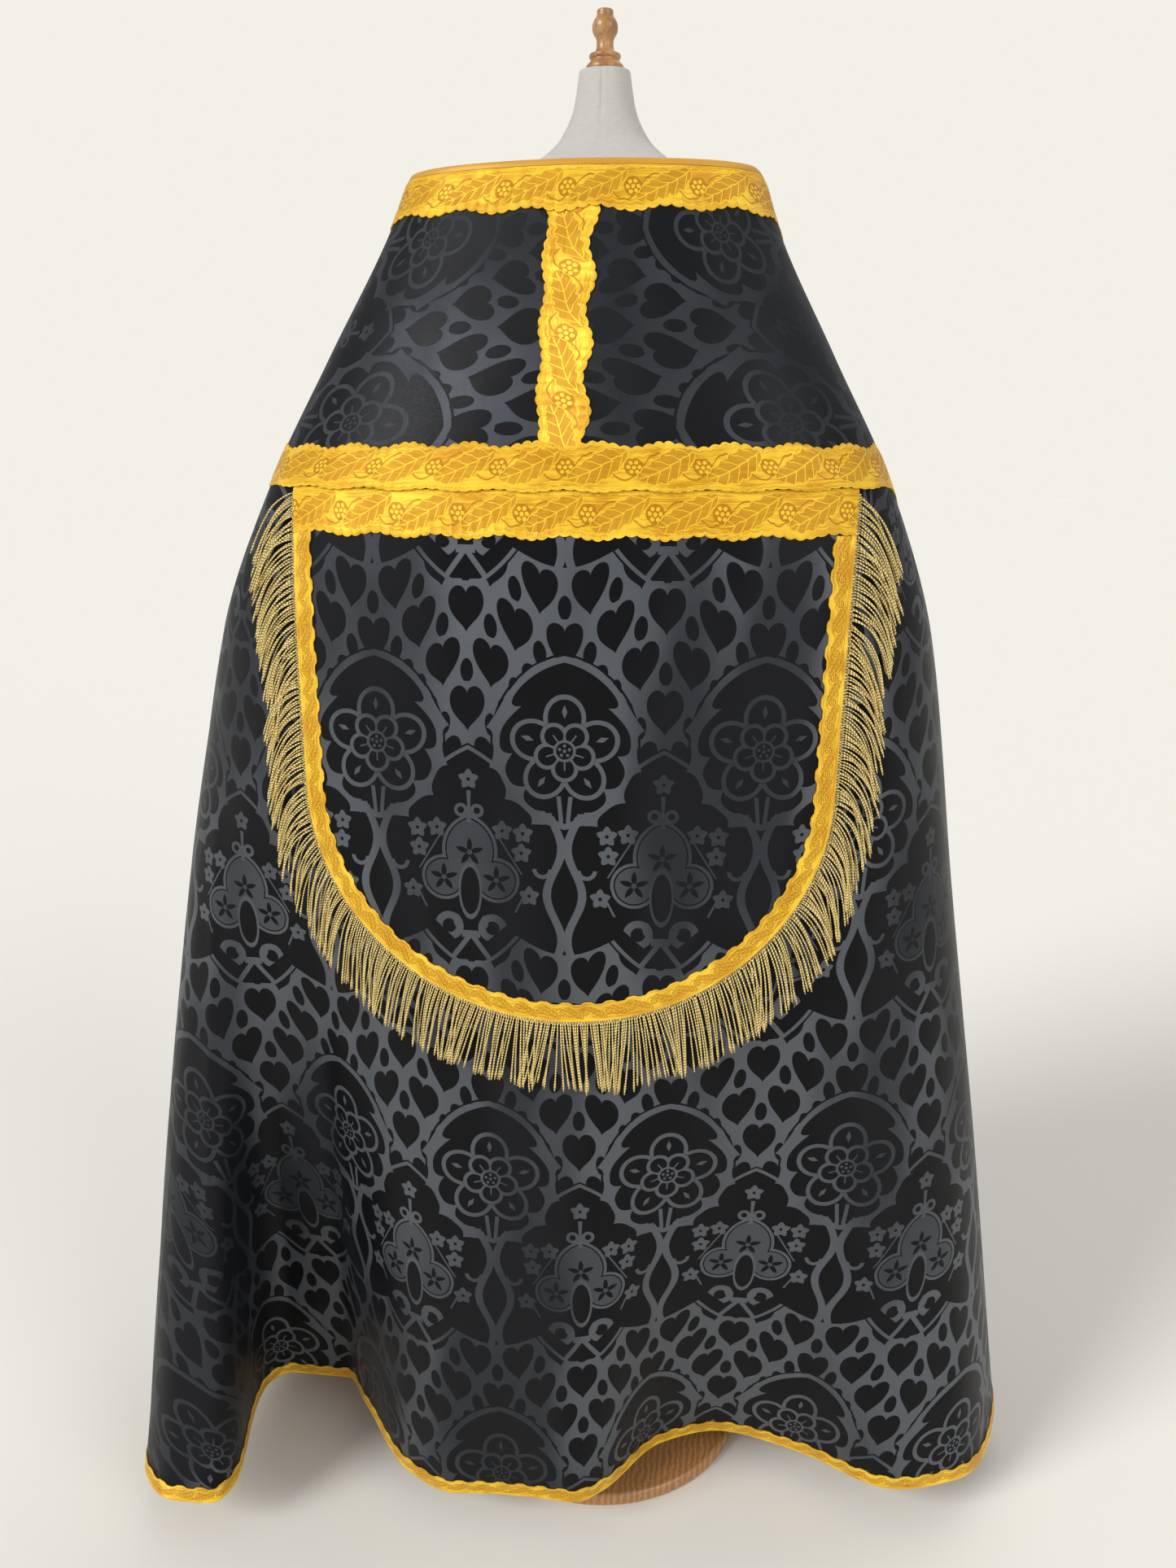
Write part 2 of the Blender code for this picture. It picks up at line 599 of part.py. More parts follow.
def add_fringe(gold):
    """A heading strip just outside the hood's edge, whose outer edge carries the strands."""
    half = STRAND / 2
    first = 0.004
    pitch = (1 - 2 * first) / FRINGE_STRANDS
    points, faces = [], []

    def add(point):
        points.append(tuple(point))
        return len(points) - 1

    def ring(share, beyond):
        flat = hood_outline(np.array([share]), beyond)[0]
        point, normal = on_back(flat[:, 0], flat[:, 1])
        return add(point[0] + normal[0] * (FRINGE_OUT + half)), add(point[0] + normal[0] * (FRINGE_OUT - half))

    shares = [first + pitch * (k + at) for k in range(FRINGE_STRANDS) for at in (0.34, 0.66)]
    outer = [ring(share, FRINGE_HEADING) for share in [first] + shares + [1 - first]]
    inner = [ring(first + pitch * k, 2 * SEAM_GAP) for k in range(FRINGE_STRANDS + 1)]
    for k in range(FRINGE_STRANDS):
        a, b = inner[k], inner[k + 1]
        before, left, right = outer[2 * k], outer[2 * k + 1], outer[2 * k + 2]
        faces.append((a[0], b[0], right[0], left[0]))
        faces.append((b[1], a[1], left[1], right[1]))
        faces.append((a[1], b[1], b[0], a[0]))
        faces.append((a[0], left[0], before[0]))
        faces.append((a[1], before[1], left[1]))
        faces.append((before[0], left[0], left[1], before[1]))
    start, end, last_right, last_inner = outer[0], outer[-1], outer[-2], inner[-1]
    faces.append((last_inner[0], end[0], last_right[0]))
    faces.append((last_inner[1], last_right[1], end[1]))
    faces.append((last_right[0], end[0], end[1], last_right[1]))
    faces.append((last_inner[0], last_inner[1], end[1], end[0]))
    faces.append((inner[0][1], inner[0][0], start[0], start[1]))

    for k in range(FRINGE_STRANDS):
        flat, away = hood_outline(np.array([first + pitch * (k + 0.5)]), FRINGE_HEADING)
        steps = 2 if -away[0, 1] > 0.75 else 3
        angle = float(back_angle(flat[0, 0], flat[0, 1]))
        path = strand_path(angle, float(flat[0, 1]), away[0], STRAND_LIFT * (k % 2), steps)
        left, right = outer[2 * k + 1], outer[2 * k + 2]
        corners = [left[0], right[0], right[1], left[1]]
        root_out = np.array(points[left[0]]) - np.array(points[left[1]])
        root_wide = np.array(points[right[0]]) - np.array(points[left[0]])
        for step in range(1, steps + 1):
            forward = path[step] - path[step - 1] if step == steps else path[step + 1] - path[step - 1]
            forward /= np.linalg.norm(forward)
            out = root_out - forward * np.dot(root_out, forward)
            out = out / np.linalg.norm(out) * half
            wide = np.cross(forward, out)
            if np.dot(wide, root_wide) < 0:
                wide = -wide
            new = [
                add(path[step] - wide + out),
                add(path[step] + wide + out),
                add(path[step] + wide - out),
                add(path[step] - wide - out),
            ]
            for c in range(4):
                n = (c + 1) % 4
                faces.append((corners[c], corners[n], new[n], new[c]))
            corners = new
        faces.append((corners[0], corners[1], corners[2], corners[3]))
    add_object("fringe_hood", np.array(points), [face[::-1] for face in faces], gold)


def add_morse(damask):
    """The tab across the fronts, lying on both neck galloons."""
    half_width, top, bottom = 0.075, MORSE_HEIGHT - 0.030, MORSE_HEIGHT - 0.105
    across = np.linspace(-half_width, half_width, 9)
    heights = np.linspace(top, bottom, 4)
    across, height = np.meshgrid(across, heights)
    angle = 180 - np.degrees(np.arcsin(across / section(height, "right")))
    grid = smooth_shape(angle, height), outward(smooth_shape, angle, height)
    add_cloth("morse", grid, every_cell(grid), MORSE_OUT, MORSE_OUT + CLOTH, damask)


def add_form_torso(cover):
    """The smooth torso: rings of points from the neck down, closed by a face at each end."""
    steps = np.linspace(0, 1, 19)
    knots = column(FORM_SECTIONS, FORM_NAMES, "height")
    wanted = np.interp(steps, np.linspace(0, 1, len(knots)), knots)
    sides = 24
    turn = np.linspace(0, 2 * math.pi, sides, endpoint=False)
    points, faces = [], []
    for height in wanted:
        width, depth, forward = (
            float(smooth_read(height, knots, column(FORM_SECTIONS, FORM_NAMES, name)))
            for name in ("half_width", "half_depth", "forward")
        )
        squareness = 2.3
        ring_x = width * np.sign(np.sin(turn)) * np.abs(np.sin(turn)) ** (2 / squareness)
        ring_y = depth * np.sign(np.cos(turn)) * np.abs(np.cos(turn)) ** (2 / squareness)
        points += [(FORM_SHIFT + x, forward + y, height) for x, y in zip(ring_x, ring_y)]
    for ring in range(len(wanted) - 1):
        for k in range(sides):
            a, b = ring * sides + k, ring * sides + (k + 1) % sides
            faces.append((a, b, b + sides, a + sides))
    faces.append(tuple(reversed(range(sides))))
    faces.append(tuple(range((len(wanted) - 1) * sides, len(wanted) * sides)))
    add_object("form_torso", points, faces, cover)


def add_turned(name, profile, finish, steps=24):
    """A turned piece: a profile of radius and height, from its top down its outer side, spun by a Screw."""
    points = [(0.0, 0.0, profile[0][1])] + [(radius, 0.0, height) for radius, height in profile]
    points.append((0.0, 0.0, profile[-1][1]))
    mesh = bpy.data.meshes.new(name)
    mesh.from_pydata(points, [(k, k + 1) for k in range(len(points) - 1)], [])
    mesh.materials.append(finish)
    made = bpy.data.objects.new(name, mesh)
    collection.objects.link(made)
    made.location = (FORM_SHIFT, 0.0, 0.0)
    screw = made.modifiers.new("turn", "SCREW")
    screw.steps = screw.render_steps = steps
    screw.use_merge_vertices = True
    screw.merge_threshold = 0.0001
    screw.use_smooth_shade = True
    return made


def add_stand(wood):
    finial = [(radius, height) for height, radius in reversed(FINIAL)]
    add_turned("form_finial", finial, wood, 20)
    torso_bottom = FORM_SECTIONS[-1][0]
    add_turned("form_pole", [(POLE_RADIUS, torso_bottom - SEAM_GAP), (POLE_RADIUS, 0.0453)], wood, 16)
    foot = [
        (0.024, 0.045),
        (0.030, 0.038),
        (0.034, 0.030),
        (BASE_RADIUS - 0.022, 0.024),
        (BASE_RADIUS - 0.006, 0.020),
        (BASE_RADIUS, 0.014),
        (BASE_RADIUS, 0.000),
    ]
    add_turned("form_base", foot, wood, 32)


for old in list(bpy.data.objects):
    bpy.data.objects.remove(old)
collection = bpy.data.collections.new("Cope_on_dress_form")
bpy.context.scene.collection.children.link(collection)

black_damask = material("black_damask", (0.012, 0.013, 0.015), 0.45)
gold_galloon = material("gold_galloon", (0.83, 0.50, 0.05), 0.38)
gold_satin = material("gold_satin", (0.62, 0.34, 0.03), 0.42)
gold_bullion = material("gold_bullion", (0.62, 0.45, 0.13), 0.40)
form_cover = material("form_cover", (0.80, 0.77, 0.70), 0.85)
light_oak = material("light_oak", (0.52, 0.28, 0.11), 0.35)

body_grid = make_body_grid()
strip_grid = make_orphrey_grid()
add_body(body_grid, black_damask)
add_orphreys(strip_grid, black_damask)
add_strip_galloons(strip_grid, gold_galloon)
add_hem_galloons(strip_grid, body_grid, gold_galloon)
add_binding(strip_grid, gold_satin)
add_hood(black_damask, gold_galloon)
add_fringe(gold_bullion)
add_morse(black_damask)
add_form_torso(form_cover)
add_stand(light_oak)
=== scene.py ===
"""The finish of a black damask cope on a limbless dress form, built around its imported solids.

Metres, +Z up. The back of the cope, with its hood, faces -Y."""

import functools
import math

import bpy
import numpy as np
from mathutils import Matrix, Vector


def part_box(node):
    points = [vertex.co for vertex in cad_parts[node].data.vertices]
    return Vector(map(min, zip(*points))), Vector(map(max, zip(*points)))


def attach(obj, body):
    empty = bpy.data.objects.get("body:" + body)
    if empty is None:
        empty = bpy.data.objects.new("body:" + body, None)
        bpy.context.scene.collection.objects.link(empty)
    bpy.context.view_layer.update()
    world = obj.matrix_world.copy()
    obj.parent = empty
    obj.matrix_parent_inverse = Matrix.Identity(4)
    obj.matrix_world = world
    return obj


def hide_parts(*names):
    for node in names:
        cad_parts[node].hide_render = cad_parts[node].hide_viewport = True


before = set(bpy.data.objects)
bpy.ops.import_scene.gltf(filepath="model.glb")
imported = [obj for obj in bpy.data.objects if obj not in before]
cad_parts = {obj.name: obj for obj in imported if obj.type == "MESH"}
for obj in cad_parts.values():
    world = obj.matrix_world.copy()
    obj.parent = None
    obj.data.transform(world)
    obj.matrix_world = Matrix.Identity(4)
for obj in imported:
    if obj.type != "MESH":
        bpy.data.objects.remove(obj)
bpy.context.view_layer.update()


# Oak foot and pole of the dress form
# A turned oak disc with a softened rim carries a round oak pole. Both are light oak under satin
# varnish, and the pole is glued into the disc. The cope hides all but the rim.


class Wire:
    """A value in a finish. Arithmetic on it adds Math nodes."""

    def __init__(self, finish, socket):
        self.finish, self.socket = finish, socket

    def math(self, operation, *others):
        return self.finish.node("ShaderNodeMath", {"operation": operation}, (self, *others))

    def __rsub__(self, other):
        return self.finish.node("ShaderNodeMath", {"operation": "SUBTRACT"}, (other, self))


for method, operation in {
    "__add__": "ADD",
    "__radd__": "ADD",
    "__sub__": "SUBTRACT",
    "__mul__": "MULTIPLY",
    "__rmul__": "MULTIPLY",
    "__truediv__": "DIVIDE",
    "below": "LESS_THAN",
    "above": "GREATER_THAN",
    "least": "MINIMUM",
    "most": "MAXIMUM",
    "size": "ABSOLUTE",
    "sine": "SINE",
    "root": "SQRT",
    "wrap": "FLOORED_MODULO",
    "fold": "PINGPONG",
}.items():
    setattr(Wire, method, functools.partialmethod(Wire.math, operation))


class Finish:
    """A material of one Principled shader, with its nodes made by node()."""

    def __init__(self, name, **sockets):
        self.material = bpy.data.materials.new(name)
        self.material.use_nodes = True
        self.tree = self.material.node_tree
        self.shader = self.tree.nodes["Principled BSDF"]
        for socket, value in sockets.items():
            self.feed(socket.replace("_", " "), value)

    def node(self, kind, settings=None, inputs=(), output=0):
        made = self.tree.nodes.new(kind)
        for setting, value in (settings or {}).items():
            if setting == "stops":
                ramp = made.color_ramp
                while len(ramp.elements) < len(value):
                    ramp.elements.new(0.5)
                for stop, (place, colour) in zip(ramp.elements, value):
                    stop.position, stop.color = place, (*colour, 1.0)
            else:
                setattr(made, setting, value)
        pairs = inputs.items() if isinstance(inputs, dict) else enumerate(inputs)
        for socket, value in pairs:
            if isinstance(value, Wire):
                self.tree.links.new(value.socket, made.inputs[socket])
            else:
                made.inputs[socket].default_value = value
        return Wire(self, made.outputs[output])

    def feed(self, socket, value):
        if isinstance(value, Wire):
            self.tree.links.new(value.socket, self.shader.inputs[socket])
        else:
            self.shader.inputs[socket].default_value = value

    def place(self):
        """Object coordinates as one vector."""
        return self.node("ShaderNodeTexCoord", output="Object")

    def cloth_place(self):
        """Metres across and along the flat cloth."""
        flat = self.node("ShaderNodeUVMap", {"uv_map": "flat_cloth"})
        return self.node("ShaderNodeSeparateXYZ", inputs=(flat,)), self.node(
            "ShaderNodeSeparateXYZ", inputs=(flat,), output=1
        )

    def point(self, x, y, z=0.0):
        return self.node("ShaderNodeCombineXYZ", inputs=(x, y, z))

    def noise(self, where, scale, detail=2.0, roughness=0.5):
        sockets = {"Vector": where, "Scale": scale, "Detail": detail, "Roughness": roughness}
        return self.node("ShaderNodeTexNoise", inputs=sockets)

    def stretch(self, where, scale, turn=(0.0, 0.0, 0.0)):
        """A place, turned and scaled. The larger the scale of an axis, the finer a pattern is along it."""
        return self.node("ShaderNodeMapping", inputs={"Vector": where, "Scale": scale, "Rotation": turn})

    def between(self, share, first, second):
        """A number between two."""
        return self.node("ShaderNodeMix", inputs={0: share, 2: first, 3: second})

    def mix(self, share, first, second):
        """A colour between two, each a colour or a Wire."""
        pair = [one if isinstance(one, Wire) else (*one, 1.0) for one in (first, second)]
        return self.node("ShaderNodeMix", {"data_type": "RGBA"}, {0: share, 6: pair[0], 7: pair[1]}, 2)

    def ramp(self, value, low, high, to_low=0.0, to_high=1.0):
        """A value carried softly from one range to another."""
        return self.node(
            "ShaderNodeMapRange", {"interpolation_type": "SMOOTHSTEP"}, (value, low, high, to_low, to_high)
        )

    def relief(self, height, depth):
        """Raises or sinks the surface by a height of 0 to 1 times a depth in metres."""
        self.feed("Normal", self.node("ShaderNodeBump", inputs={"Height": height, "Distance": depth}))


def make_oak():
    """Light oak: rings stretched along the turned axis, fine pores, satin varnish."""
    oak = Finish("light_oak", Coat_Weight=0.25, Coat_Roughness=0.22)
    stretched = oak.stretch(oak.place(), (1.0, 1.0, 0.14), (0.09, 0.06, 0.0))
    rings = oak.node(
        "ShaderNodeTexWave",
        {"wave_type": "RINGS", "rings_direction": "Y"},
        {"Vector": stretched, "Scale": 42.0, "Distortion": 5.0, "Detail": 3.0, "Detail Scale": 1.4},
        1,
    )
    pores = oak.noise(stretched, 900.0, 2.0)
    tone = oak.mix(rings, (0.50, 0.265, 0.100), (0.34, 0.160, 0.052))
    oak.feed("Base Color", oak.mix(oak.ramp(pores, 0.52, 0.66), tone, (0.30, 0.135, 0.045)))
    oak.feed("Roughness", 0.30 + 0.14 * pores)
    oak.relief(pores, 0.0002)
    return oak.material


light_oak = make_oak()
form_x = sum(corner.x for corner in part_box("form_pole")) / 2


def turn_piece(name, profile, sides=96):
    """Turns a closed profile of radii and heights, from the bottom up, about the form's axis."""
    bpy.ops.object.select_all(action="DESELECT")
    bpy.ops.mesh.primitive_circle_add(
        vertices=sides, radius=profile[0][0], fill_type="NGON", location=(form_x, 0.0, profile[0][1])
    )
    piece = bpy.context.object
    piece.name = piece.data.name = name
    bpy.ops.object.mode_set(mode="EDIT")
    bpy.ops.mesh.select_all(action="SELECT")
    for (radius, height), (next_radius, next_height) in zip(profile, profile[1:]):
        bpy.ops.mesh.extrude_region_move(TRANSFORM_OT_translate={"value": (0.0, 0.0, next_height - height)})
        share = next_radius / radius
        bpy.ops.transform.resize(value=(share, share, 1.0), center_override=(form_x, 0.0, next_height))
    bpy.ops.mesh.select_all(action="SELECT")
    bpy.ops.mesh.normals_make_consistent(inside=False)
    bpy.ops.object.mode_set(mode="OBJECT")
    bpy.ops.object.transform_apply(location=True, rotation=True, scale=True)
    bpy.ops.object.shade_smooth_by_angle(angle=math.radians(35))
    return piece


def take_place(piece, node):
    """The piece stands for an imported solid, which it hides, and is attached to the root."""
    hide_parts(node)
    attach(piece, "root")


foot_radius, foot_side, edge_round = 0.190, 0.0125, 0.005
foot_profile = [(foot_radius - 0.002, 0.0), (foot_radius, 0.002), (foot_radius, foot_side)]
foot_profile += [
    (foot_radius - edge_round * (1 - math.cos(turn)), foot_side + edge_round * math.sin(turn))
    for turn in np.radians((30, 60, 90))
]
foot_profile += [(0.178, 0.0192), (0.166, 0.0238), (0.060, 0.0272), (0.034, 0.0300), (0.031, 0.0380)]
foot_profile += [(0.0245, 0.0448)]
foot = turn_piece("oak_foot", foot_profile)
pole = turn_piece("oak_pole", [(0.0158, 0.0453), (0.0160, 0.0460), (0.0160, 0.8330), (0.0157, 0.8345)], 48)
for piece, node in ((foot, "form_base"), (pole, "form_pole")):
    piece.data.materials.append(light_oak)
    take_place(piece, node)


# Padded torso of the dress form
# A moulded shell padded with wadding and covered in unbleached cotton, with a raised seam down each
# side, a centre seam and a plain round neck. The cope hangs from its shoulders.

FORM_NAMES = ("height", "half_width", "half_depth", "forward")
FORM_SECTIONS = (
    (1.690, 0.027, 0.027, 0.000),
    (1.655, 0.033, 0.033, 0.000),
    (1.625, 0.047, 0.043, 0.000),
    (1.603, 0.070, 0.055, -0.004),
    (1.585, 0.108, 0.066, -0.010),
    (1.565, 0.151, 0.074, -0.014),
    (1.540, 0.182, 0.080, -0.014),
    (1.500, 0.1925, 0.090, -0.010),
    (1.400, 0.180, 0.108, 0.004),
    (1.280, 0.170, 0.118, 0.010),
    (1.130, 0.150, 0.104, 0.006),
    (0.960, 0.172, 0.112, 0.000),
    (0.860, 0.166, 0.108, 0.000),
    (0.835, 0.150, 0.095, 0.000),
)


def column(table, names, name):
    return np.array([row[names.index(name)] for row in table], float)


def smooth_read(x, knots, values):
    """Reads a table with soft corners: a cubic through its rows whose slopes never overshoot."""
    order = np.argsort(knots)
    knots, values = knots[order], values[order]
    steps = np.diff(values) / np.diff(knots)
    slopes = np.zeros(len(knots))
    slopes[0], slopes[-1] = steps[0], steps[-1]
    same_way = steps[:-1] * steps[1:] > 0
    together = np.where(same_way, steps[:-1] + steps[1:], 1.0)
    slopes[1:-1] = np.where(same_way, 2 * steps[:-1] * steps[1:] / together, 0.0)
    x = np.clip(np.asarray(x, float), knots[0], knots[-1])
    cell = np.clip(np.searchsorted(knots, x) - 1, 0, len(knots) - 2)
    width = knots[cell + 1] - knots[cell]
    u = (x - knots[cell]) / width
    return (
        values[cell] * (1 + 2 * u) * (1 - u) ** 2
        + slopes[cell] * width * u * (1 - u) ** 2
        + values[cell + 1] * u * u * (3 - 2 * u)
        - slopes[cell + 1] * width * u * u * (1 - u)
    )


def add_mesh(name, points, faces, finish, flat=None):
    """A smooth mesh from arrays. flat holds each point's place on the flat cloth."""
    mesh = bpy.data.meshes.new(name)
    mesh.from_pydata(points.tolist(), [], faces if isinstance(faces, list) else faces.tolist())
    if flat is not None:
        corners = np.empty(len(mesh.loops), np.int32)
        mesh.loops.foreach_get("vertex_index", corners)
        mesh.uv_layers.new(name="flat_cloth").data.foreach_set("uv", np.asarray(flat)[corners].ravel())
    mesh.materials.append(finish)
    mesh.shade_smooth()
    mesh.set_sharp_from_angle(angle=math.radians(50))
    piece = bpy.data.objects.new(name, mesh)
    bpy.context.scene.collection.objects.link(piece)
    return piece


def make_cover_cotton():
    """Unbleached plain-weave cotton, a little slubby."""
    cotton = Finish("cover_cotton", Sheen_Weight=0.25, Sheen_Roughness=0.5)
    where = cotton.place()
    slubs = cotton.noise(cotton.stretch(where, (1.0, 1.0, 6.0)), 160.0, 3.0)
    weave = cotton.noise(where, 2600.0, 1.0)
    cotton.feed("Base Color", cotton.mix(slubs, (0.47, 0.45, 0.41), (0.62, 0.60, 0.56)))
    cotton.feed("Roughness", 0.80 + 0.15 * slubs)
    cotton.relief(weave * 0.6 + slubs * 0.6, 0.0006)
    return cotton.material


cover_cotton = make_cover_cotton()
torso_rows, torso_sides = 120, 144
torso_squareness, seam_relief, seam_width = 2.3, 0.0012, 0.035
knots = column(FORM_SECTIONS, FORM_NAMES, "height")
torso_heights = np.interp(np.linspace(0, len(knots) - 1, torso_rows), np.arange(len(knots)), knots)
torso_turn = np.linspace(0, 2 * math.pi, torso_sides, endpoint=False)
torso_width, torso_depth, torso_forward = (
    smooth_read(torso_heights, knots, column(FORM_SECTIONS, FORM_NAMES, name))[:, None]
    for name in ("half_width", "half_depth", "forward")
)
torso_seam = seam_relief * np.exp(-((np.sin(torso_turn * 2) / seam_width) ** 2))[None, :]
torso_x, torso_y = (
    (half - torso_seam) * np.sign(around) * np.abs(around) ** (2 / torso_squareness)
    for half, around in ((torso_width, np.sin(torso_turn)), (torso_depth, np.cos(torso_turn)))
)
torso_points = np.stack(
    [form_x + torso_x, torso_forward + torso_y, torso_heights[:, None] + 0 * torso_x], axis=-1
).reshape(-1, 3)
torso_faces = [
    (a * torso_sides + b, a * torso_sides + c, (a + 1) * torso_sides + c, (a + 1) * torso_sides + b)
    for a in range(torso_rows - 1)
    for b, c in zip(range(torso_sides), [*range(1, torso_sides), 0])
]
torso_faces.append(list(reversed(range(torso_sides))))
torso_faces.append(list(range((torso_rows - 1) * torso_sides, torso_rows * torso_sides)))
torso = add_mesh("cotton_torso", torso_points, torso_faces, cover_cotton)
take_place(torso, "form_torso")


# Turned finial on the neck
# One turned piece of light oak: a round foot with a thin collar, a waist, a knob and a blunt tip. It is
# dowelled into the neck.

finial_profile = [
    (0.0196, 1.6903), (0.0202, 1.6912), (0.0202, 1.6945), (0.0196, 1.6962), (0.0180, 1.6980),
    (0.0160, 1.6998), (0.0151, 1.7012), (0.0150, 1.7022), (0.0161, 1.7032), (0.0167, 1.7044),
    (0.0168, 1.7060), (0.0161, 1.7073), (0.0135, 1.7083), (0.0108, 1.7096), (0.0096, 1.7115),
    (0.0090, 1.7145), (0.0088, 1.7175), (0.0090, 1.7205), (0.0100, 1.7232), (0.0118, 1.7256),
    (0.0130, 1.7282), (0.0136, 1.7312), (0.0134, 1.7345), (0.0126, 1.7375), (0.0112, 1.7402),
    (0.0097, 1.7422), (0.0088, 1.7438), (0.0086, 1.7455), (0.0086, 1.7478), (0.0082, 1.7492),
    (0.0070, 1.7499),
]
finial = turn_piece("oak_finial", finial_profile)
finial.data.materials.append(light_oak)
take_place(finial, "form_finial")


# Body of the cope
# The wide back panel and two gores of black silk damask, cut with the pattern upright and lined in gold
# satin. They hang from the seam under the orphrey and fall in folds to the hem.

NECK_HEIGHT, SEAM_HEIGHT, MORSE_HEIGHT, HEM_HEIGHT = 1.580, 1.266, 1.350, 0.060
SHOULDER_END = 1.110
CLOTH = 0.0018
FOLD_GROWTH = 1.3
SEAM_GAP = 0.0005
SECTION_NAMES = ("height", "left", "right", "back", "front", "squareness")
SECTIONS = (
    (1.600, 0.185, 0.184, 0.105, 0.040, 3.4),
    (1.528, 0.214, 0.208, 0.135, 0.070, 3.4),
    (1.400, 0.284, 0.272, 0.185, 0.130, 3.3),
    (1.270, 0.356, 0.338, 0.216, 0.168, 3.2),
    (1.100, 0.430, 0.395, 0.228, 0.200, 2.9),
    (0.800, 0.491, 0.439, 0.240, 0.240, 2.6),
    (0.490, 0.518, 0.483, 0.250, 0.270, 2.5),
    (0.060, 0.534, 0.534, 0.258, 0.295, 2.4),
)
HEM_LINE_NAMES = ("angle", "across", "forward", "top")
HEM_LINE = (
    (-180.0, 0.000, 0.285, 1.00),
    (-176.0, -0.040, 0.285, 1.00),
    (-163.0, -0.160, 0.3015, 1.00),
    (-144.0, -0.305, 0.222, 1.00),
    (-130.0, -0.420, 0.232, 1.00),
    (-119.0, -0.490, 0.165, 1.05),
    (-103.0, -0.490, 0.025, 1.05),
    (-90.0, -0.5472, -0.085, 1.00),
    (-76.0, -0.532, -0.251, 0.98),
    (-68.0, -0.475, -0.302, 0.98),
    (-62.5, -0.425, -0.299, 0.98),
    (-58.0, -0.409, -0.257, 0.98),
    (-46.5, -0.428, -0.108, 0.98),
    (-42.5, -0.404, -0.074, 0.98),
    (-36.0, -0.325, -0.070, 0.98),
    (-31.0, -0.285, -0.117, 0.96),
    (-21.0, -0.197, -0.221, 0.92),
    (-14.0, -0.130, -0.252, 0.86),
    (0.0, 0.008, -0.243, 0.80),
    (6.0, 0.045, -0.217, 0.76),
    (15.0, 0.110, -0.137, 0.74),
    (23.0, 0.189, -0.105, 0.74),
    (33.5, 0.287, -0.134, 0.80),
    (48.0, 0.405, -0.168, 0.90),
    (60.0, 0.482, -0.150, 0.95),
    (78.0, 0.542, -0.065, 1.00),
    (90.0, 0.5470, 0.020, 1.00),
    (107.0, 0.495, 0.118, 1.08),
    (126.0, 0.437, 0.245, 1.08),
    (144.0, 0.305, 0.238, 1.00),
    (163.0, 0.160, 0.3015, 1.00),
    (176.0, 0.040, 0.285, 1.00),
    (180.0, 0.000, 0.285, 1.00),
)
ORPHREY_EDGE_NAMES = ("height", "angle")
ORPHREY_EDGE = (
    (1.266, 80.0),
    (1.240, 92.0),
    (1.190, 106.0),
    (1.110, 119.0),
    (0.900, 131.0),
    (0.500, 139.0),
    (0.060, 144.0),
)
damask_width = 0.205


def read_table(x, table, names, across, name):
    """A named column of a table at places x of its column across."""
    return smooth_read(x, column(table, names, across), column(table, names, name))


def section(height, name):
    return read_table(height, SECTIONS, SECTION_NAMES, "height", name)


def smooth_shape(angle, height):
    """The worn shape without folds, by a height and an angle round the body, 0 degrees at the centre back."""
    height = np.zeros_like(np.asarray(height, float)) + height
    turn = np.radians(angle)
    side = np.where(np.sin(turn) < 0, section(height, "left"), section(height, "right"))
    rounding = np.abs(np.cos(turn)) ** (2 / section(height, "squareness"))
    depth = np.where(np.cos(turn) > 0, -section(height, "back"), section(height, "front"))
    return np.stack([side * np.sin(turn), depth * rounding, height + 0 * turn], axis=-1)


def outward(shape, angle, height):
    """The unit normal of a shape that takes an angle and a height."""
    turn_step, height_step = 0.4, 0.004
    round_body = shape(angle + turn_step, height) - shape(angle - turn_step, height)
    up_body = shape(angle, height + height_step) - shape(angle, height - height_step)
    normal = np.cross(round_body, up_body)
    return normal / np.linalg.norm(normal, axis=-1, keepdims=True)


def hem_line(angle, name):
    return read_table(angle, HEM_LINE, HEM_LINE_NAMES, "angle", name)


def ripples(angle, height):
    """Soft waves a few millimetres deep that grow towards the hem."""
    top, depth = 0.62, 0.0042
    low = np.clip((top - height) / (top - HEM_HEIGHT), 0.0, 1.0)
    wide = np.sin(np.radians(angle * 9.0 + 40 * height))
    narrow = np.sin(np.radians(angle * 17.0 - 60 * height + 50))
    return depth * low * (wide + 0.6 * narrow)


def worn_shape(angle, height):
    """The worn shape with its folds, which grow from nothing at their tops to the hem line."""
    level = np.zeros_like(np.asarray(height, float)) + height
    top = hem_line(angle, "top")
    grown = np.clip((top - level) / (top - HEM_HEIGHT), 0.0, 1.0) ** FOLD_GROWTH
    hem = np.stack([hem_line(angle, "across"), hem_line(angle, "forward")], axis=-1)
    points = smooth_shape(angle, level)
    points[..., :2] += (hem - smooth_shape(angle, HEM_HEIGHT)[..., :2]) * grown[..., None]
    return points


def worn_grid(angle, height):
    """Points and outward normals of the worn shape with its ripples."""
    normals = outward(worn_shape, angle, height)
    points = worn_shape(angle, height)
    wave = ripples(angle, points[..., 2])[..., None] * normals
    wave[..., 2] = 0.0
    return points + wave, normals


def orphrey_edge_angle(height):
    return read_table(height, ORPHREY_EDGE, ORPHREY_EDGE_NAMES, "height", "angle")


def travel(points):
    """The distance along a line of points from its start."""
    return np.concatenate([[0], np.cumsum(np.linalg.norm(np.diff(points, axis=0), axis=-1))])


def run_length(points, axis, start):
    """The distance along a grid's rows or columns, from its column or row start."""
    steps = np.linalg.norm(np.diff(points, axis=axis), axis=-1)
    length = np.concatenate([np.zeros_like(np.take(steps, [0], axis)), np.cumsum(steps, axis)], axis)
    return length - np.take(length, [start], axis)


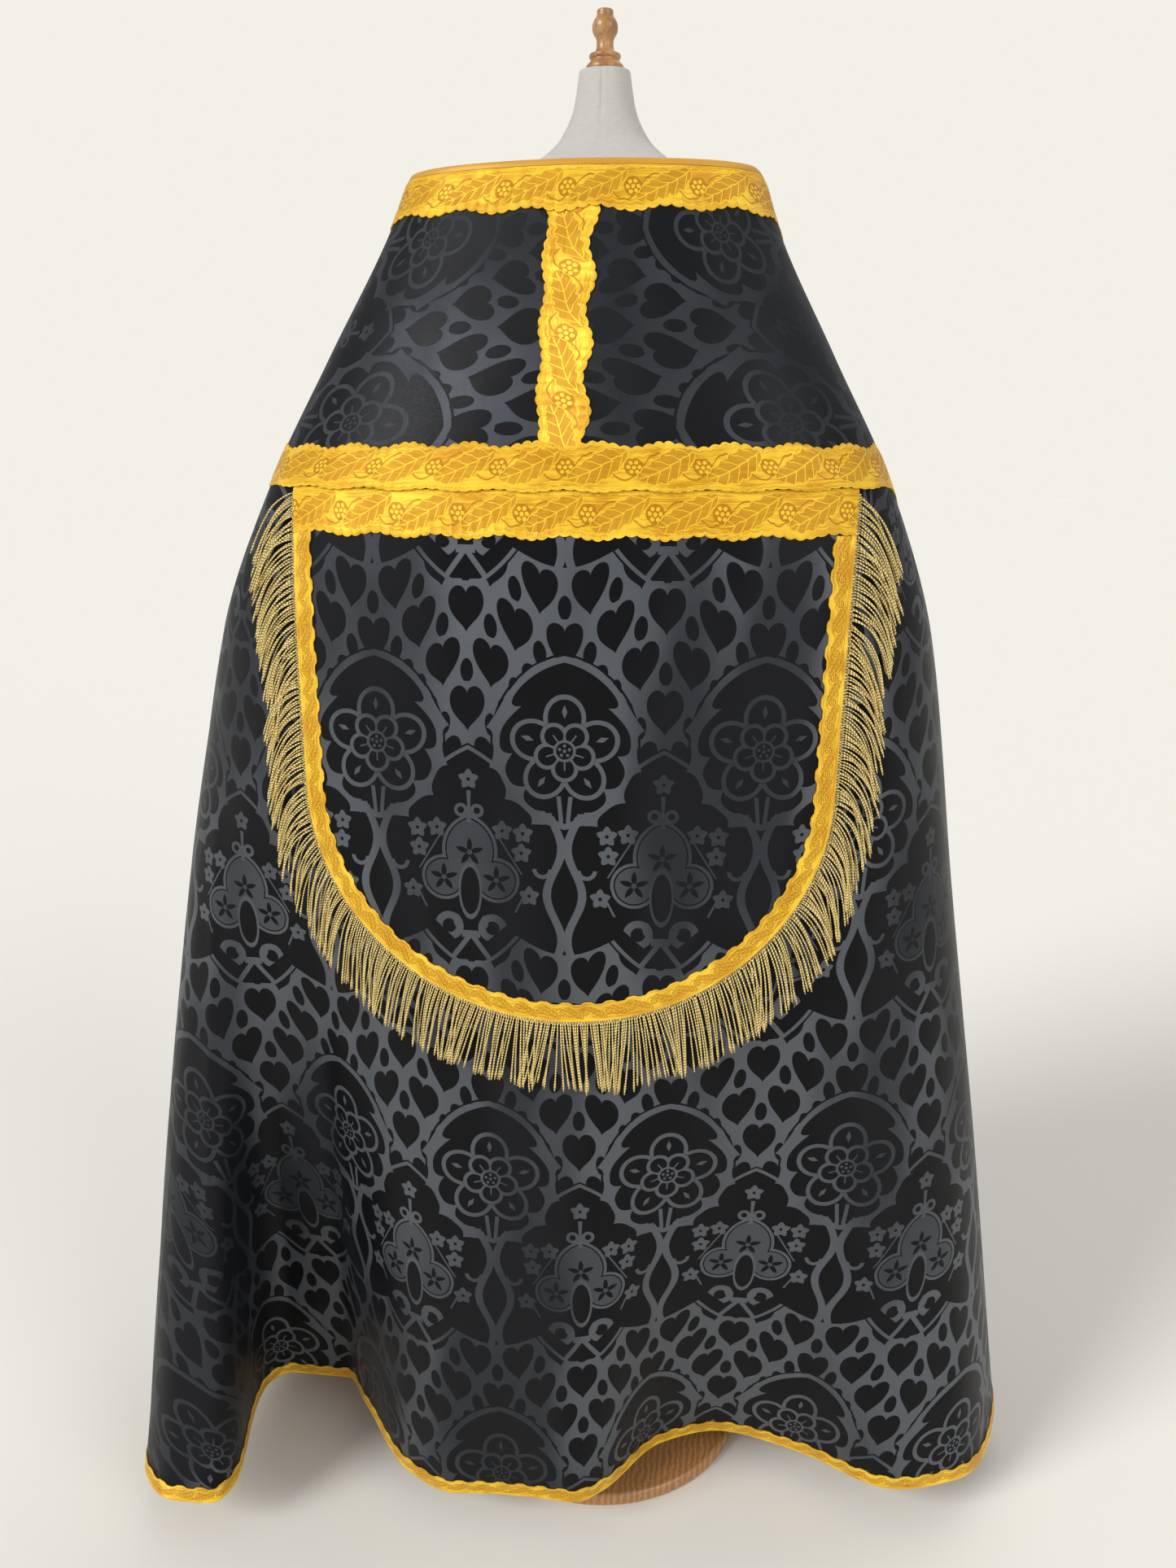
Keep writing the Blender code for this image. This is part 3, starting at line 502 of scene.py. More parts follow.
def sew(name, grid, low, high, finish, flat, turned=False):
    """A closed piece of cloth between two distances out from a grid of points and normals.

    Its lining side is the second material. Rows run left to right and columns downwards seen from outside,
    or the other way where turned is true."""
    points, normals = grid
    rows, cols = points.shape[:2]
    index = np.arange(rows * cols).reshape(rows, cols)
    outer = np.stack([index[:-1, :-1], index[:-1, 1:], index[1:, 1:], index[1:, :-1]], -1).reshape(-1, 4)
    rim = np.concatenate([index[:, 0], index[-1, 1:], index[-2::-1, -1], index[0, -2:0:-1]])
    count = rows * cols
    rim_next = np.roll(rim, -1)
    sides = np.stack([rim, rim + count, rim_next + count, rim_next], -1)
    if turned:
        outer, sides = outer[:, ::-1], sides[:, ::-1]
    faces = np.concatenate([outer, outer[:, ::-1] + count, sides])
    out = points + normals * (np.zeros((rows, cols)) + high)[..., None]
    within = points + normals * (np.zeros((rows, cols)) + low)[..., None]
    both = np.concatenate([out.reshape(-1, 3), within.reshape(-1, 3)])
    flat = np.concatenate([flat.reshape(-1, 2)] * 2)
    outer_finish, inner_finish = finish
    piece = add_mesh(name, both, faces, outer_finish, flat)
    if inner_finish is not outer_finish:
        piece.data.materials.append(inner_finish)
        slots = np.zeros(len(faces), np.int32)
        slots[len(outer) : 2 * len(outer)] = 1
        piece.data.polygons.foreach_set("material_index", slots)
    return piece


def far(x, y):
    """The distance of a point of a pattern from 0, 0."""
    return (x * x + y * y).root()


def make_black_damask(name, ground_dull_and_sheen, raised_dull_and_sheen):
    """Black silk damask in an upright ogee pattern of a rose, heart leaves and a framed palmette.

    One unit is the width of a repeat, and a repeat is two units high. The rose is at 0, 0."""
    silk = Finish(name, Specular_IOR_Level=0.10)
    across, along = silk.cloth_place()
    from_rose = (across / damask_width).fold(0.5)
    from_palmette = 0.5 - from_rose
    up = (along / damask_width + 1.15).wrap(2.0) - 1.15

    def pointed_arch(x, middle, half_width, half_height):
        """Distance outside a lens with its points above and below."""
        reach = (half_height**2 - half_width**2) / (2 * half_width)
        return far(x + reach, up - middle) - (half_width + reach)

    def line(x, middle, half_width):
        """A line of this half width along a middle."""
        return (x - middle).size().below(half_width)

    # The branch round the rose, and the line round the palmette's field where no branch covers it
    rose_field = pointed_arch(from_rose, 0.035, 0.345, 0.425)
    palmette_field = pointed_arch(from_palmette, -0.60, 0.375, 0.590)
    thorns = 1.0 - (up * 1.45 + from_rose * 0.9 + 0.10).fold(0.155) / 0.155
    thorn = 0.062 * thorns * thorns * thorns * (1.0 - 0.5 * from_rose.below(0.10))
    branch = rose_field.above(-0.012 - thorn) * rose_field.below(0.020 + 0.7 * thorn)
    outside = rose_field.above(0.0) * palmette_field.above(0.0)

    # Heart leaves in bent, staggered rows above the roses and round the stems of the palmettes
    row_height, half_leaf = 0.25, 0.125
    bent = up + 0.09 * ((from_rose * 2 * math.pi + math.pi / 2).sine())
    row = (bent / row_height).math("FLOOR")
    leafy = (row + 3.0).size().above(1.5)
    branch = branch.most(outside * leafy * palmette_field.below(0.020))
    leaf_x = (from_rose + half_leaf * row.wrap(2.0)).fold(half_leaf)
    leaf_y = bent.wrap(row_height) - row_height / 2
    heart = far(leaf_x * 1.08, leaf_y - 0.26 * leaf_x.root() + 0.038) - 0.099
    between = far((half_leaf - leaf_x) * 1.6 + 0.008, leaf_y + 0.070) - 0.062
    leaves = outside * leafy * heart.above(0.0) * between.above(0.0)
    leaves = leaves * (rose_field - 0.030).size().above(0.006) * (palmette_field - 0.026).size().above(0.005)

    # Rose of five double petals
    half_petal = math.pi / 5
    out = far(from_rose, up)
    petal = from_rose.math("ARCTAN2", up).fold(half_petal)
    between_petals = half_petal - petal
    outer_petal = far(out * petal.sine(), (out * petal.math("COSINE") - 0.168) * 0.90) - 0.097
    inner_petal = far(out * between_petals.sine(), out * between_petals.math("COSINE") - 0.092) - 0.059
    outer_rose = outer_petal.size().below(0.0115) * inner_petal.above(0.012)
    inner_rose = inner_petal.size().below(0.0105) * out.above(0.056)
    ring = (out - 0.050).size().below(0.0070)
    drops = (petal * out).below(0.014 - (out - 0.200).size() * 0.40) * (out - 0.200).size().below(0.034)
    spokes = (between_petals * out).below(0.0040) * out.above(0.055) * out.below(0.100)
    seeds = far(petal * out, out - 0.027).below(0.0085).most(out.below(0.009))
    rose = outer_rose.most(inner_rose).most(ring).most(drops).most(spokes).most(seeds)

    # Two crossing stems below the rose, with sepals and small leaves
    sway = 0.054 + 0.038 * ((up * 12.6 + 4.9).sine())
    stems = line(from_rose, sway, 0.022) * up.below(-0.34) * up.above(-1.12)
    sepals = line(from_rose, 0.018 + 0.10 * (up + 0.36).size(), 0.011)
    sepals = sepals * up.below(-0.235) * up.above(-0.40)
    side_leaf = far(from_rose - 0.115, up + 0.625) - 0.052
    side_leaves = (side_leaf + 0.010).size().below(0.011) * (up + 0.625).below(0.0)

    # Palmette in its three-lobed frame, over a fleur
    lobe_x, lobe_y = from_palmette - 0.142, up + 0.700
    head = pointed_arch(from_palmette, -0.545, 0.125, 0.170)
    side = (far(lobe_x, lobe_y) - 0.098).most(lobe_x * 0.96 - lobe_y * 0.28 - 0.096)
    frame_edge = head.least(side)
    frame_line = (frame_edge - 0.016).size().below(0.0085)
    heads = head.below(side)
    local_x = silk.between(heads, lobe_x, from_palmette)
    local_y = silk.between(heads, lobe_y, up + 0.555)
    leaf_turn = local_x.math("ARCTAN2", local_y).fold(half_petal)
    leaf_out = far(local_x, local_y)
    dark_leaf = leaf_out.below(0.078 - 0.105 * leaf_turn) * leaf_out.above(0.014)
    framed = frame_edge.below(0.0) * (1.0 - dark_leaf)
    lozenge = far(from_palmette * 2.3, (up + 0.765) * 0.92) - 0.120
    lozenge_line = (lozenge - 0.012).size().below(0.013)
    curl = far(from_palmette - 0.118, up + 0.965) - 0.070
    curls = (curl + 0.012).size().below(0.020) * (up + 1.01 + 0.9 * (0.12 - from_palmette)).above(0.0)
    hooks = far(from_palmette - 0.075, (up + 0.935) * 0.55).below(0.020)
    band = from_palmette.below(0.050) * (up + 1.005).size().below(0.020)
    feet = line(from_palmette, 0.012 - (up + 1.02) * 0.75, 0.017) * up.below(-1.01) * up.above(-1.15)
    scroll = (far(from_palmette - 0.043, up + 0.330) - 0.027).size().below(0.0095)
    neck = from_palmette.below(0.008 + 0.05 * (up + 0.30).size()) * (up + 0.31).size().below(0.085)

    # Small five-petalled flowers round the palmette, on stalks
    spray_x, spray_y, nearest = from_palmette, up + 0.165, far(from_palmette, up + 0.165)
    for place_x, place_y in ((0.175, -0.430), (0.283, -0.440), (0.275, -0.545), (0.315, -0.775)):
        next_x, next_y = from_palmette - place_x, up - place_y
        next_out = far(next_x, next_y)
        closer = next_out.below(nearest)
        spray_x = silk.between(closer, spray_x, next_x)
        spray_y = silk.between(closer, spray_y, next_y)
        nearest = nearest.least(next_out)
    spray_turn = spray_x.math("ARCTAN2", spray_y).fold(half_petal)
    flowers = nearest.below(0.056 - 0.034 * spray_turn) * nearest.above(0.0095)
    high_stalk = line(from_palmette, 0.215 - 0.62 * (up + 0.56), 0.0050) * up.above(-0.66) * up.below(-0.47)
    low_stalk = line(from_palmette, 0.275 + 0.50 * (up + 0.80), 0.0060) * (up + 0.82).size().below(0.05)

    motifs = rose.most(stems).most(sepals).most(side_leaves)
    motifs = motifs.most(frame_line).most(framed * 0.62).most(curls).most(hooks).most(lozenge_line)
    motifs = (motifs * (1.0 - lozenge.below(-0.002))).most(band).most(feet).most(scroll).most(neck)
    motifs = motifs.most(flowers).most(high_stalk).most(low_stalk)
    figure = branch.most(leaves).most((1.0 - outside * leafy) * motifs)

    # The ground is warp satin and the figure weft satin, so each takes the light in its own way. The figure's
    # lighter colour is partly painted sheen, and in large soft patches painted sheen makes the figure lighter
    # and the ground darker.
    where = silk.point(across, along)
    streaked = silk.stretch(silk.place(), (1.0, 1.0, 0.28))
    tone_and_sheen_patches = silk.ramp(silk.noise(streaked, 6.0, 2.0), 0.40, 0.62)
    warp = silk.noise(silk.stretch(where, (2600.0, 420.0, 1.0)), 1.0, 1.0)
    weft = silk.noise(silk.stretch(where, (420.0, 2600.0, 1.0)), 1.0, 1.0)
    thread = warp + figure * (weft - warp)
    ground = silk.mix(tone_and_sheen_patches, *ground_dull_and_sheen)
    raised = silk.mix(tone_and_sheen_patches, *raised_dull_and_sheen)
    silk.feed("Base Color", silk.mix(figure * (0.86 + 0.28 * thread), ground, raised))
    silk.feed("Metallic", 0.55 * figure)
    silk.feed("Roughness", 0.36 + 0.06 * figure)
    dents = silk.noise(silk.place(), 13.0, 1.0)
    silk.relief(figure * 0.45 + thread * 0.40 + dents * 4.5, 0.00045)
    return silk.material


def make_gold_satin(name, shade, shade_light):
    """Plain woven satin: fine threads one way, with a soft sheen."""
    satin = Finish(name, Metallic=0.15, Sheen_Weight=0.2)
    across, along = satin.cloth_place()
    where = satin.point(across, along)
    threads = satin.noise(satin.stretch(where, (240.0, 2400.0, 1.0)), 1.0, 2.0)
    # Soft patches of uneven tone and painted sheen between the two golds
    tone_and_sheen_patches = satin.noise(where, 14.0)
    satin.feed("Base Color", satin.mix(tone_and_sheen_patches, shade, shade_light))
    satin.feed("Roughness", 0.34 + 0.14 * threads)
    satin.relief(threads, 0.0002)
    return satin.material


# Colours of the ground and of the figure, each first dull and then with painted sheen
black_damask = make_black_damask(
    "black_damask",
    ((0.0086, 0.0092, 0.0110), (0.0036, 0.0039, 0.0050)),
    ((0.036, 0.039, 0.045), (0.108, 0.117, 0.132)),
)
gold_lining = make_gold_satin("gold_lining", (0.50, 0.27, 0.035), (0.62, 0.36, 0.06))

body_columns, gore_columns = 200, 36
levels = np.concatenate([[SEAM_HEIGHT - SEAM_GAP], np.linspace(1.258, HEM_HEIGHT, 150)])
seam_angle = orphrey_edge_angle(levels)[:, None]
panel_top_angle, panel_hem_angle = 64.0, 75.0
panel_angle = np.interp(-levels, (-SEAM_HEIGHT, -HEM_HEIGHT), (panel_top_angle, panel_hem_angle))[:, None]
panel_share = np.linspace(-1, 1, body_columns + 1)[None, :]
gore_share = np.linspace(0, 1, gore_columns + 1)[None, :]
gore_gap = 0.05
back_angles = panel_angle * panel_share
gore_angles = panel_angle + gore_gap + (seam_angle - 2 * gore_gap - panel_angle) * gore_share
rose_x, rose_height = 0.122, 0.500


def body_flat(points, start, start_across):
    """Places on the flat cloth: across from the rose, and up from it."""
    across = run_length(points, 1, start) + start_across
    along = SEAM_HEIGHT - rose_height - run_length(points, 0, 0)
    return np.stack([across - rose_x, along], axis=-1)


back_grid = worn_grid(back_angles, levels[:, None] + 0 * back_angles)
back_flat = body_flat(back_grid[0], body_columns // 2, 0.0)
for name, side in (("body_back", 0), ("gore_left", -1), ("gore_right", 1)):
    grid, flat = back_grid, back_flat
    if side:
        angles = gore_angles if side > 0 else -gore_angles[:, ::-1]
        grid = worn_grid(angles, levels[:, None] + 0 * angles)
        own_seam, back_seam = (0, -1) if side > 0 else (gore_columns, 0)
        flat = body_flat(grid[0], own_seam, back_flat[:, [back_seam], 0] + rose_x)
    piece = sew("damask_" + name, grid, -CLOTH, 0.0, (black_damask, gold_lining), flat, True)
    take_place(piece, name)


# Orphrey
# A band of the same damask, 0.31 m wide at the back, cut along the pattern so that it lies on its side,
# joined at the centre back and sewn to the body. It runs over the shoulders and down both fronts.

NECK_LINE_NAMES = ("angle", "height")
NECK_LINE = (
    (0.0, 1.580),
    (70.0, 1.578),
    (88.0, 1.566),
    (120.0, 1.500),
    (150.0, 1.420),
    (170.0, 1.368),
    (180.0, 1.350),
)
FRONT_GAP_TOP, FRONT_GAP_HEM = 0.004, 0.040
NECK_POINT = 179.2


def front_edge_angle(height):
    down = np.clip((MORSE_HEIGHT - height) / (MORSE_HEIGHT - HEM_HEIGHT), 0, 1)
    gap = FRONT_GAP_TOP + (FRONT_GAP_HEM - FRONT_GAP_TOP) * down
    return 180 - np.degrees(np.arcsin(gap / section(height, "right")))


def strip_lines(place):
    """Angles and heights of the right orphrey's inner and outer edge.

    place goes from 0 at the centre back to 1 at the shoulder's corner, 2 at the point of the neck's V and
    3 at the hem."""
    back, over, down = (np.clip(place - start, 0, 1) for start in (0, 1, 2))
    corner_neck, corner_seam = 72.0, float(orphrey_edge_angle(SEAM_HEIGHT))
    neck_angle = corner_neck * back + (NECK_POINT - corner_neck) * over
    neck = read_table(neck_angle, NECK_LINE, NECK_LINE_NAMES, "angle", "height")
    neck = np.where(place > 2, MORSE_HEIGHT + (HEM_HEIGHT - MORSE_HEIGHT) * down, neck)
    neck_angle = np.where(place > 2, front_edge_angle(neck), neck_angle)
    seam = SEAM_HEIGHT + (SHOULDER_END - SEAM_HEIGHT) * over**1.15 + (HEM_HEIGHT - SHOULDER_END) * down
    seam_angle = np.where(place < 1, corner_seam * back, orphrey_edge_angle(seam))
    return neck_angle, neck, seam_angle, seam


def strip_spot(places, share):
    """Angles and heights on the strip at shares of its width, from 0 at its inner edge to 1 at its outer."""
    neck_angle, neck, seam_angle, seam = strip_lines(np.abs(places))
    angle = np.where(places < 0, -1.0, 1.0) * (neck_angle * (1 - share) + seam_angle * share)
    return angle, neck * (1 - share) + seam * share


def strip_width(places):
    """The width of the strip at each place."""
    inner, outer = (worn_shape(*strip_spot(places, share)) for share in (0.0, 1.0))
    return np.linalg.norm(outer - inner, axis=-1)


def strip_grid(places, first, last, cells):
    """Part of the strip, from the left hem round to the right, between two shares of its width."""
    first, last = np.zeros(len(places)) + first, np.zeros(len(places)) + last
    shares = np.linspace(0, 1, cells + 1)
    spots = [strip_spot(places, first + (last - first) * share) for share in shares]
    return worn_grid(*(np.stack(part, axis=1) for part in zip(*spots)))


def places_between(start, end, step):
    """Places along the strip about a step of metres apart."""
    fine = np.linspace(start, end, 3000)
    length = travel(worn_shape(*strip_spot(fine, 0.5)))
    count = max(2, int(round(length[-1] / step)))
    return np.interp(np.linspace(0, length[-1], count + 1), length, fine), length[-1]


# Painted sheen: the turned cloth gets a duller figure and a lighter ground than the body, as its satins take
# the light the other way
turned_damask = make_black_damask(
    "turned_damask",
    ((0.0140, 0.0150, 0.0174), (0.0072, 0.0077, 0.0092)),
    ((0.024, 0.026, 0.030), (0.048, 0.052, 0.060)),
)
join_gap, seam_share, orphrey_cells, orphrey_pattern_start = 0.00005, 0.0003, 40, 0.190
for name, start, end in (("orphrey_left", -3.0, -join_gap), ("orphrey_right", join_gap, 3.0)):
    places, reach = places_between(start, end, 0.008)
    grid = strip_grid(places, seam_share, 1 - seam_share, orphrey_cells)
    middle = orphrey_cells // 2
    centre = len(places) - 1 if start < 0 else 0
    along = run_length(grid[0], 0, centre)
    along = np.abs(along[:, middle : middle + 1]) + 0 * along
    across = run_length(grid[0], 1, middle)
    flat = np.stack([across + damask_width / 2, orphrey_pattern_start - along], axis=-1)
    piece = sew("damask_" + name, grid, -CLOTH, 0.0, (turned_damask, gold_lining), flat)
    take_place(piece, name)


# Hood
# A U-shaped shield of the damask, 570 mm wide as worn and 615 mm along the cloth, stiffened and lined, hung
# from under the galloon of the orphrey. A rose of the pattern stands at its centre.

HOOD_TOP_WIDTH, HOOD_LOW_WIDTH = 0.294, 0.284
HOOD_STRAIGHT, HOOD_ROUND = 0.310, 0.252
HOOD_OUT, HOOD_CLOTH, HOOD_TUCK = 0.0035, 0.0016, 0.005
hood_rose_x, hood_rose_height = 0.006, 1.004


def back_angle(across, height):
    """The angle at which the back of the smooth shape is this far across."""
    side = np.where(across < 0, section(height, "left"), section(height, "right"))
    return np.degrees(np.arcsin(np.clip(across / side, -0.995, 0.995)))


def on_back(across, height):
    """Points and normals of the smooth back."""
    angle = back_angle(across, height)
    return smooth_shape(angle, height), outward(smooth_shape, angle, height)


def hood_outline(share, beyond=0.0):
    """Places this far beyond the hood's U-shaped edge, from the top left round to the top right, the
    direction outwards there, and the length of the edge."""
    turn = np.radians(np.linspace(-90, 90, 181))
    low = SEAM_HEIGHT - HOOD_STRAIGHT
    line = np.concatenate(
        [
            [(-HOOD_TOP_WIDTH, SEAM_HEIGHT)],
            np.stack([HOOD_LOW_WIDTH * np.sin(turn), low - HOOD_ROUND * np.cos(turn)], axis=-1),
            [(HOOD_TOP_WIDTH, SEAM_HEIGHT)],
        ]
    )
    length = travel(line)
    wanted = np.asarray(share) * length[-1]
    step = 0.004
    point, ahead, behind = (
        np.stack([np.interp(wanted + off, length, line[:, k]) for k in (0, 1)], axis=-1)
        for off in (0, step, -step)
    )
    along = ahead - behind
    along /= np.linalg.norm(along, axis=-1, keepdims=True)
    away = np.stack([along[..., 1], -along[..., 0]], axis=-1)
    return point + away * np.asarray(beyond)[..., None], away, length[-1]


hood_columns, hood_rows = 120, 90
hood_x = np.sin(np.linspace(-math.pi / 2, math.pi / 2, hood_columns + 1)) * HOOD_LOW_WIDTH
hood_round_top = SEAM_HEIGHT - HOOD_STRAIGHT
hood_foot = hood_round_top - HOOD_ROUND * np.sqrt(np.clip(1 - (hood_x / HOOD_LOW_WIDTH) ** 2, 0, 1))
hood_top = SEAM_HEIGHT + HOOD_TUCK
hood_share = np.linspace(0, 1, hood_rows + 1)[:, None]
hood_height = hood_top + (hood_foot[None, :] - hood_top) * hood_share
above_round = np.clip((hood_height - hood_round_top) / HOOD_STRAIGHT, 0, 1)
widening = 1 + (HOOD_TOP_WIDTH / HOOD_LOW_WIDTH - 1) * above_round
hood_across = hood_x[None, :] * widening
hood_grid = on_back(hood_across, hood_height)
hood_wave = 0.0007 * np.sin(hood_across * 31 + 1.1) * np.sin((hood_height - 0.7) * 17) * (1 - hood_share)
hood_points = hood_grid[0] + hood_grid[1] * (HOOD_OUT + np.clip(hood_wave, -0.0004, 0.001))[..., None]
level_line = on_back(hood_across * np.linspace(0, 1, 25)[:, None, None], hood_height)[0]
level_run = np.sign(hood_across) * run_length(level_line, 0, 0)[-1]
hood_flat = np.stack([level_run - hood_rose_x, hood_height - hood_rose_height], axis=-1)
hood_sides = (hood_points, hood_grid[1])
hood = sew("damask_hood", hood_sides, -HOOD_CLOTH, 0.0, (black_damask, gold_lining), hood_flat, True)
take_place(hood, "hood")


# Morse
# A plain tab of the damask, edged in satin, that lies across both fronts and hooks them together.

morse_half, morse_top, morse_bottom, morse_out = 0.0755, 1.320, 1.245, 0.0022
morse_x, morse_height = np.meshgrid(
    np.linspace(-morse_half, morse_half, 49), np.linspace(morse_top, morse_bottom, 25)
)
morse_angle = 180 - np.degrees(np.arcsin(morse_x / section(morse_height, "right")))
morse_grid = smooth_shape(morse_angle, morse_height), outward(smooth_shape, morse_angle, morse_height)
morse_flat = np.stack([morse_x, morse_height - (morse_top + morse_bottom) / 2], axis=-1)
morse = sew(
    "damask_morse", morse_grid, morse_out, morse_out + 0.0020, (black_damask, gold_lining), morse_flat
)
take_place(morse, "morse")


# Wide galloon
# A woven gold ribbon 46 mm wide with leaf sprays and clusters of berries, and scalloped picot edges. It
# is stitched down along the neck and fronts, over the orphrey's seam, up the centre back and on the hood.

WIDE_GALLOON, TRIM, LAY_GAP, HOOD_LIFT = 0.046, 0.0010, 0.0004, 0.0065
spray_length, scallop_length = 0.068, 0.0113
spray_wave, scallop_depth = 0.0028, 0.0030
ribbon_cells = 10


def scalloped(along, phase):
    """How far a galloon's edge stands out: one wave to each spray, and small round picots."""
    wave = spray_wave * np.cos(2 * math.pi * along / spray_length + phase)
    picot = scallop_depth * (np.abs(np.sin(math.pi * along / scallop_length)) ** 0.7 - 0.6)
    return wave + picot


def make_gold_galloon(name, repeat, half_width, bright, shade):
    """Bright gold weave: a wavy stem, lobed leaves, clusters of seven berries, and corded edges."""
    gold = Finish(name, Metallic=0.25, Specular_IOR_Level=0.30)
    along, across = gold.cloth_place()
    k = repeat / spray_length
    x = along.wrap(repeat) - repeat / 2
    lean = 0.46
    tilt_x = x * math.cos(lean) - across * math.sin(lean)
    tilt_y = x * math.sin(lean) + across * math.cos(lean)
    tilt_y = tilt_y + tilt_x * tilt_x * (3.2 / k)
    leaf_reach, leaf_half = 0.033 * k, 0.0132 * k
    outline = 1.0 - (tilt_x * tilt_x) / leaf_reach**2
    lobes = 0.82 + 0.18 * ((tilt_x + tilt_y.size() * 0.3) * (math.pi / (0.0125 * k))).sine().size()
    leaf_edge = leaf_half * outline.most(0.0).root() * lobes
    leaf = tilt_y.size().below(leaf_edge)
    rim = (tilt_y.size() - leaf_edge).size().below(0.0007 * k) * outline.above(0.0)
    midrib = tilt_y.size().below(0.00065 * k) * outline.above(0.05)
    veins = ((tilt_y.size() * 1.1 + tilt_x) * (2 * math.pi / (0.0125 * k))).sine().above(0.93) * leaf
    stem = (across - 0.0125 * k * (along * (2 * math.pi / repeat) + 2.5).sine()).size().below(0.0009 * k)
    berry_x = along.wrap(repeat)
    berry_x = (berry_x - repeat / 2).size() - repeat / 2
    berry_y = across + 0.001 * k
    out = far(berry_x, berry_y)
    sixth = berry_y.math("ARCTAN2", berry_x).fold(math.pi / 6)
    ring_x = out * (math.pi / 2 - sixth).sine() - 0.0056 * k
    ring_y = out * sixth.sine()
    dots = far(ring_x, ring_y).below(0.0021 * k).most(out.below(0.0021 * k))
    pod = out.below(0.0098 * k)
    raised = leaf * (1.0 - midrib) * (1.0 - veins)
    drawn = midrib.most(veins).most(stem * (1.0 - leaf))
    ribs = ((across * (2 * math.pi / 0.0009)).sine() + 1.0) * 0.5
    border = 0.0048 * k - 0.0022 * k * (along * (math.pi / (scallop_length * k))).sine().size()
    edge = across.size().above(half_width - border)
    cord = (across.size() - (half_width - border)).size().below(0.0007 * k)
    picots = (along * (math.pi / 0.0019)).sine().size()
    where = gold.point(along, across)
    # Painted sheen: fine streaks and soft patches, the patches partly uneven tone, carry the base colour
    # between the darker and the brighter gold
    tone_and_sheen_patches = gold.noise(where, 22.0, 2.0)
    sheen = gold.noise(gold.stretch(where, (30.0, 520.0, 1.0)), 1.0, 2.0)
    base = gold.mix(gold.ramp(tone_and_sheen_patches * 0.5 + sheen * 0.5, 0.38, 0.60), shade, bright)
    deep = tuple(one * two for one, two in zip(shade, (0.72, 0.62, 0.45)))
    tone = gold.mix(raised * 0.75, base, tuple(0.86 * one for one in shade))
    tone = gold.mix((pod * (1.0 - dots)).most(stem * (1.0 - leaf)) * 0.85, tone, deep)
    tone = gold.mix(midrib.most(veins).most(rim).most(cord * 0.6) * 0.85, tone, bright)
    tone = gold.mix(dots.most(edge * picots * 0.5) * 0.8, tone, bright)
    gold.feed("Base Color", tone)
    gold.feed("Roughness", 0.36 + 0.10 * raised + 0.10 * (sheen - 0.5))
    height = raised * 0.5 + dots * 0.7 + edge * (0.35 + 0.3 * picots) - drawn * 0.3
    height = height + ribs * 0.12 + sheen * 0.15
    gold.relief(height, 0.0011)
    return gold.material


gold_galloon = make_gold_galloon(
    "gold_galloon", spray_length, WIDE_GALLOON / 2, (0.98, 0.61, 0.036), (0.64, 0.290, 0.007)
)
wide_finish = gold_galloon, WIDE_GALLOON


def ribbon_flat(points, width):
    """Places on a ribbon whose rows are its length: along it, and across from its middle.

    Across follows the woven edges, so a wavy ribbon keeps its drawing between them."""
    cells = points.shape[1] - 1
    along = run_length(points, 0, 0)[:, cells // 2 : cells // 2 + 1]
    across = width * (np.arange(cells + 1) / cells - 0.5)[None, :]
    return np.stack([along + 0 * across, across + 0 * along], axis=-1)


def lay_ribbon(name, node, grid, lift, finish, turned=False):
    """finish is its material and the width it is drawn for."""
    weave, drawn_width = finish
    flat = ribbon_flat(grid[0], drawn_width)
    piece = sew(name, grid, LAY_GAP + lift, LAY_GAP + TRIM + lift, (weave, weave), flat, turned)
    take_place(piece, node)


def along_strip(places, share):
    """Metres along the strip at a share of its width, from its middle."""
    run = travel(worn_shape(*strip_spot(places, share)))
    return run - run[-1] / 2


def near_centre(points):
    """1 at the centre galloon on the back, and 0 past its edges."""
    return np.clip((0.040 - np.abs(points[..., 0])) / 0.012, 0, 1) * (points[..., 1] < 0)


places, _ = places_between(-3.0, 3.0, 0.0014)
width = strip_width(places)
run = along_strip(places, 0.08)
neck_grid = strip_grid(places, 0.0004 / width, (WIDE_GALLOON + scalloped(run, 0.4)) / width, ribbon_cells)
over_centre = 0.0016
ribbon_share = np.linspace(0, 1, ribbon_cells + 1)[None, :]
neck_lift = over_centre * near_centre(neck_grid[0]) * ribbon_share**3
lay_ribbon(
    "galloon_wide_neck", "galloon_neck", neck_grid, neck_lift, wide_finish
)

run = along_strip(places, 0.93)
seam_inner = 1 - (WIDE_GALLOON + scalloped(run, 2.0)) / width
seam_outer = 1 + np.where(np.abs(places) < 2.9, 0.0012 + 0.5 * scalloped(run, 2.0), 0.0) / width
seam_grid = strip_grid(places, seam_inner, seam_outer, ribbon_cells)
over_hood = np.clip((HOOD_TOP_WIDTH + 0.036 - np.abs(seam_grid[0][..., 0])) / 0.022, 0, 1)
over_hood = over_hood * over_hood * (3 - 2 * over_hood) * (seam_grid[0][..., 1] < 0)
seam_lift = np.maximum(HOOD_LIFT * over_hood * ribbon_share, over_centre * near_centre(seam_grid[0]))
lay_ribbon(
    "galloon_wide_seam", "galloon_orphrey", seam_grid, seam_lift, wide_finish
)

